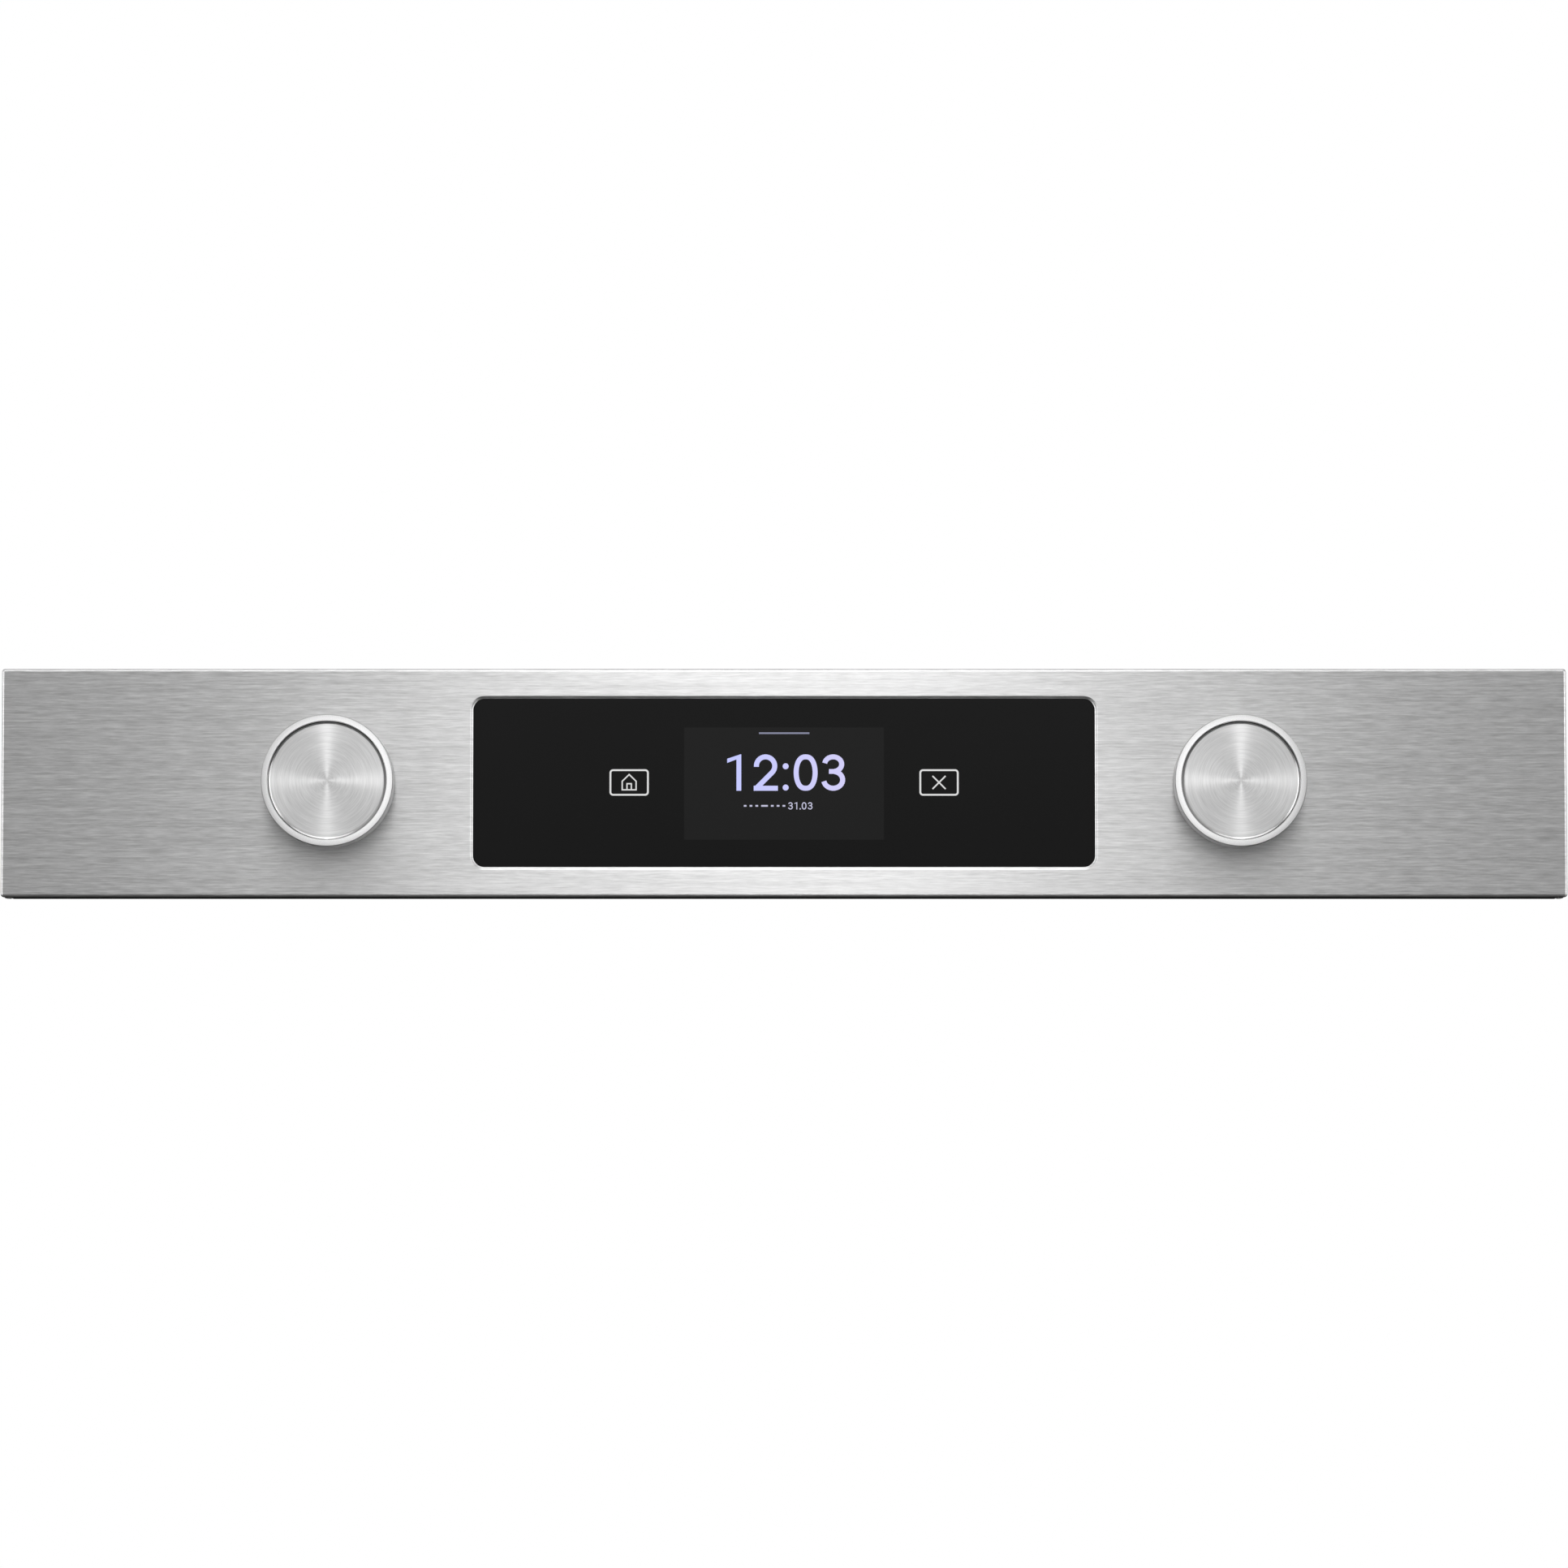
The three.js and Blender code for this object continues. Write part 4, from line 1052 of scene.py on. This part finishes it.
def processor_pins():
    """Gull-wing legs round the processor: a shoulder, a knee and a foot near the board."""
    low, high = span("processor")
    middle, reach = (low + high) / 2, (high.x - low.x) / 2
    foot, shoulder, thick, half = low.y - 0.28, low.y + 0.5, 0.2, 0.17
    profile = ((0.0, 0.7, shoulder, shoulder + thick), (0.5, 0.7, foot, shoulder + thick),
               (0.5, 1.3, foot, foot + thick))
    for place in range(20):
        offset = (place - 9.5) * 0.9
        for side in (-1, 1):
            for start, end, front, rear in profile:
                near, far = sorted((side * (reach + start), side * (reach + end)))
                yield ((middle.x + near, front, middle.z + offset - half),
                       (middle.x + far, rear, middle.z + offset + half))
                yield ((middle.x + offset - half, front, middle.z + near),
                       (middle.x + offset + half, rear, middle.z + far))


def sounder():
    """Buzzer can with a sound hole in its top."""
    low, high = span("buzzer")
    radius = (high.x - low.x) / 2
    outline = [(0.0, low.y), (radius, low.y), (radius, high.y - 0.5), (radius - 0.5, high.y),
               (1.3, high.y), (1.1, high.y - 0.2), (1.1, high.y - 1.5), (0.0, high.y - 1.5)]
    centre = (low + high) / 2
    return finished("sounder", lathe(bmesh.new(), outline, 64), (centre.x, 0.0, centre.z))


stand_for(sounder(), "buzzer")
pins("harness_pins", header_pins())
pins("processor_legs", processor_pins())
for node, edge in (
        ("window_gasket", 0.1), ("screen_frame", 0.2), ("screen_cell", 0.1),
        ("display_housing", 0.3), ("display_ribbon", 0.04), ("main_board", 0.1),
        ("processor", 0.12), ("ribbon_socket", 0.15), ("harness_header", 0.2)):
    refined(node, edge)
for side_name in SIDES:
    for part, edge in (
            ("key_board", 0.1), ("light_guide", 0.2), ("encoder_socket", 0.2),
            ("encoder_bracket", 0.3), ("encoder_body", 0.2), ("encoder_board", 0.1),
            ("encoder_header", 0.2), ("shaft_seal", 0.2), ("encoder_slider", 0.15),
            ("encoder_shaft", 0.3), ("knob_clip", 0.1), ("knob_core", 0.3),
            ("encoder_lead", 0.05)):
        refined(f"{part}_{side_name}", edge)


# ---- Studio ---------------------------------------------------------------------------------

def studio_world():
    """White to the camera; to the metal, a room lighter above than below, and dark behind."""
    world = bpy.data.worlds.new("studio")
    scene.world = world
    world.use_nodes = True
    tree = world.node_tree
    tree.nodes.clear()
    heading = add(tree, "ShaderNodeTexCoord").outputs["Generated"]
    height = add(tree, "ShaderNodeSeparateXYZ", {"Vector": heading}).outputs["Z"]
    lifted = add(tree, "ShaderNodeMapRange", {
        "Value": height, "From Min": -1.0, "From Max": 1.0}).outputs["Result"]
    # share of the way from straight down to straight up, and the room's light there
    levels = ((0.0, 0.07), (0.4, 0.14), (0.48, 0.23), (0.525, 0.27), (0.58, 0.55), (0.75, 0.7),
              (1.0, 0.85))
    room = ramp(tree, lifted, [(share, (level, level, level, 1.0)) for share, level in levels])
    depth = add(tree, "ShaderNodeSeparateXYZ", {"Vector": heading}).outputs["Y"]
    ahead = add(tree, "ShaderNodeMapRange", {
        "Value": depth, "From Min": -0.1, "From Max": 0.2, "To Min": 0.9, "To Max": 0.15})
    shown = add(tree, "ShaderNodeBackground", {"Color": colour("#FFFFFF"), "Strength": 1.0})
    felt = add(tree, "ShaderNodeBackground", {
        "Color": room, "Strength": ahead.outputs["Result"]})
    ray = add(tree, "ShaderNodeLightPath").outputs["Is Camera Ray"]
    mixed = add(tree, "ShaderNodeMixShader", {
        0: ray, 1: felt.outputs["Background"], 2: shown.outputs["Background"]})
    add(tree, "ShaderNodeOutputWorld", {"Surface": mixed.outputs["Shader"]})


def soft_box(name, place, aim, width, height, power):
    """A rectangular soft light, sizes in metres."""
    data = bpy.data.lights.new(name, "AREA")
    data.shape = "RECTANGLE"
    data.size = width
    data.size_y = height
    data.energy = power
    light = bpy.data.objects.new(name, data)
    scene.collection.objects.link(light)
    light.location = place
    direction = Vector(aim) - Vector(place)
    light.rotation_euler = direction.to_track_quat("-Z", "Y").to_euler()
    return light


def listed(name, pieces, state):
    """A collection that only says which pieces a light takes in or leaves out."""
    group = bpy.data.collections.new(name)
    for piece in pieces:
        group.objects.link(piece)
    for entry in group.collection_objects:
        entry.light_linking.link_state = state
    return group


def light_only(light, pieces):
    light.light_linking.receiver_collection = listed(light.name + " takes", pieces, "INCLUDE")


def light_all_but(light, pieces):
    light.light_linking.receiver_collection = listed(light.name + " misses", pieces, "EXCLUDE")


def no_shadow_from(light, pieces):
    light.light_linking.blocker_collection = listed(light.name + " passes", pieces, "EXCLUDE")


def studio_lights():
    """A tall strip in the middle that lights the sheet, boxes above, below and beside it that
    draw its bent and coined edges, small boxes for each knob, and two behind for the back."""
    front = Vector((0.0, FACE_Y * MM, 0.0))
    knob_parts = [*KNOB_CAPS.values(), *KNOB_RINGS.values()]
    strip = soft_box("overhead strip", (0.0, -2.8, 1.25), front, 0.62, 4.4, 20.2)
    light_all_but(strip, [glass, *LIT_MARKS, *knob_parts])
    ridge = soft_box("ridge box", (0.0, -0.9, 2.2), front, 2.2, 0.5, 15.0)
    light_only(ridge, [fascia])
    sill = soft_box("sill box", (0.0, 2.6, -0.4), front, 3.0, 0.6, 6.0)
    light_only(sill, [fascia])
    for side_name, side in SIDES.items():
        wing = soft_box(f"{side_name} wing box", (side * 2.3, 0.5, 0.1), front, 2.2, 1.6, 17.0)
        light_only(wing, [fascia])
        cheek = soft_box(f"{side_name} cheek box", (side * 1.9, -1.7, 0.1), front, 0.9, 2.4, 20.0)
        light_only(cheek, [fascia])
        behind = soft_box(f"{side_name} rear box", (side * 1.2, 2.4, -0.5), front, 2.2, 2.0, 20.0)
        light_all_but(behind, [fascia, glass, trim, *knob_parts])
        light_knob(side_name, side)


def light_knob(side_name, side):
    cap, ring = KNOB_CAPS[side_name], KNOB_RINGS[side_name]
    knob = Vector((side * KNOB_X * MM, CAP_FACE * MM, 0.0))
    # how far sideways a light must stand for this knob's fans to stay upright
    outward = side * KNOB_X * MM / CAMERA_DISTANCE
    reach = 2.0
    # (name, way it stands from the knob, width, height, power, piece, shines past the ring)
    boxes = (
        ("top", (outward, -0.7, 0.75), 0.14, 0.9, 5.1, cap, False),
        ("low", (outward, -0.6, -0.75), 0.14, 0.6, 2.5, cap, True),
        ("under", (side * 0.2, -0.4, -0.9), 2.6, 0.5, 14.0, cap, True),
        ("beside", (side * 0.87, -0.4, -0.1), 0.5, 1.8, 12.0, cap, True),
        ("inner", (outward - side * 0.75, -0.66, 0.06), 0.5, 0.3, 7.2, cap, False),
        ("outer", (outward + side * 0.75, -0.66, 0.06), 0.5, 0.3, 1.4, cap, True),
        ("front", (outward - side * 0.08, -0.99, 0.06), 0.6, 0.6, 2.0, cap, False),
        ("rim", (outward - side * 0.065, -0.99, 0.055), 0.7, 0.7, 3.0, ring, False),
    )
    for name, way, width, height, power, taking, past_ring in boxes:
        place = knob + Vector(way).normalized() * reach
        box = soft_box(f"{side_name} knob {name} box", place, knob, width, height, power)
        light_only(box, [taking])
        if past_ring:
            no_shadow_from(box, [ring])


def pale_floor():
    """A plain pale disc well below the panel, which hangs from its mount. The low boxes shine
    through it."""
    radius, drop = 2500.0, 850.0
    bm = bmesh.new()
    bmesh.ops.create_circle(bm, cap_ends=True, radius=radius, segments=96)
    floor = finished("studio_floor", bm, (0.0, 0.0, -drop))
    material, tree, shader = new_material("pale floor", Roughness=0.8)
    local = add(tree, "ShaderNodeTexCoord").outputs["Object"]
    paint = add(tree, "ShaderNodeTexNoise", {"Vector": local, "Scale": 3.0})
    tint = ramp(tree, paint.outputs["Fac"], ((0.3, colour("#EFEFEE")), (0.7, colour("#F4F4F3"))))
    tree.links.new(tint, shader.inputs["Base Color"])
    floor.data.materials.append(material)
    floor.visible_glossy = False
    floor.visible_shadow = False


def front_camera():
    """Straight on in azimuth and a few degrees below level, framed on the panel's full width."""
    below = math.radians(3.4)
    sensor, margin = 36.0, 0.4
    frame_width = (PANEL_WIDTH + 2 * margin) * MM
    data = bpy.data.cameras.new("camera")
    data.sensor_width = sensor
    data.lens = sensor * CAMERA_DISTANCE / frame_width
    data.clip_end = 50.0
    camera = bpy.data.objects.new("camera", data)
    scene.collection.objects.link(camera)
    target = Vector((0.0, FACE_Y * MM, -0.0006))
    away = Vector((0.0, -math.cos(below), -math.sin(below)))
    camera.location = target + away * CAMERA_DISTANCE
    camera.rotation_euler = (target - camera.location).to_track_quat("-Z", "Y").to_euler()
    scene.camera = camera


studio_world()
studio_lights()
pale_floor()
front_camera()
scene.view_settings.view_transform = "Standard"
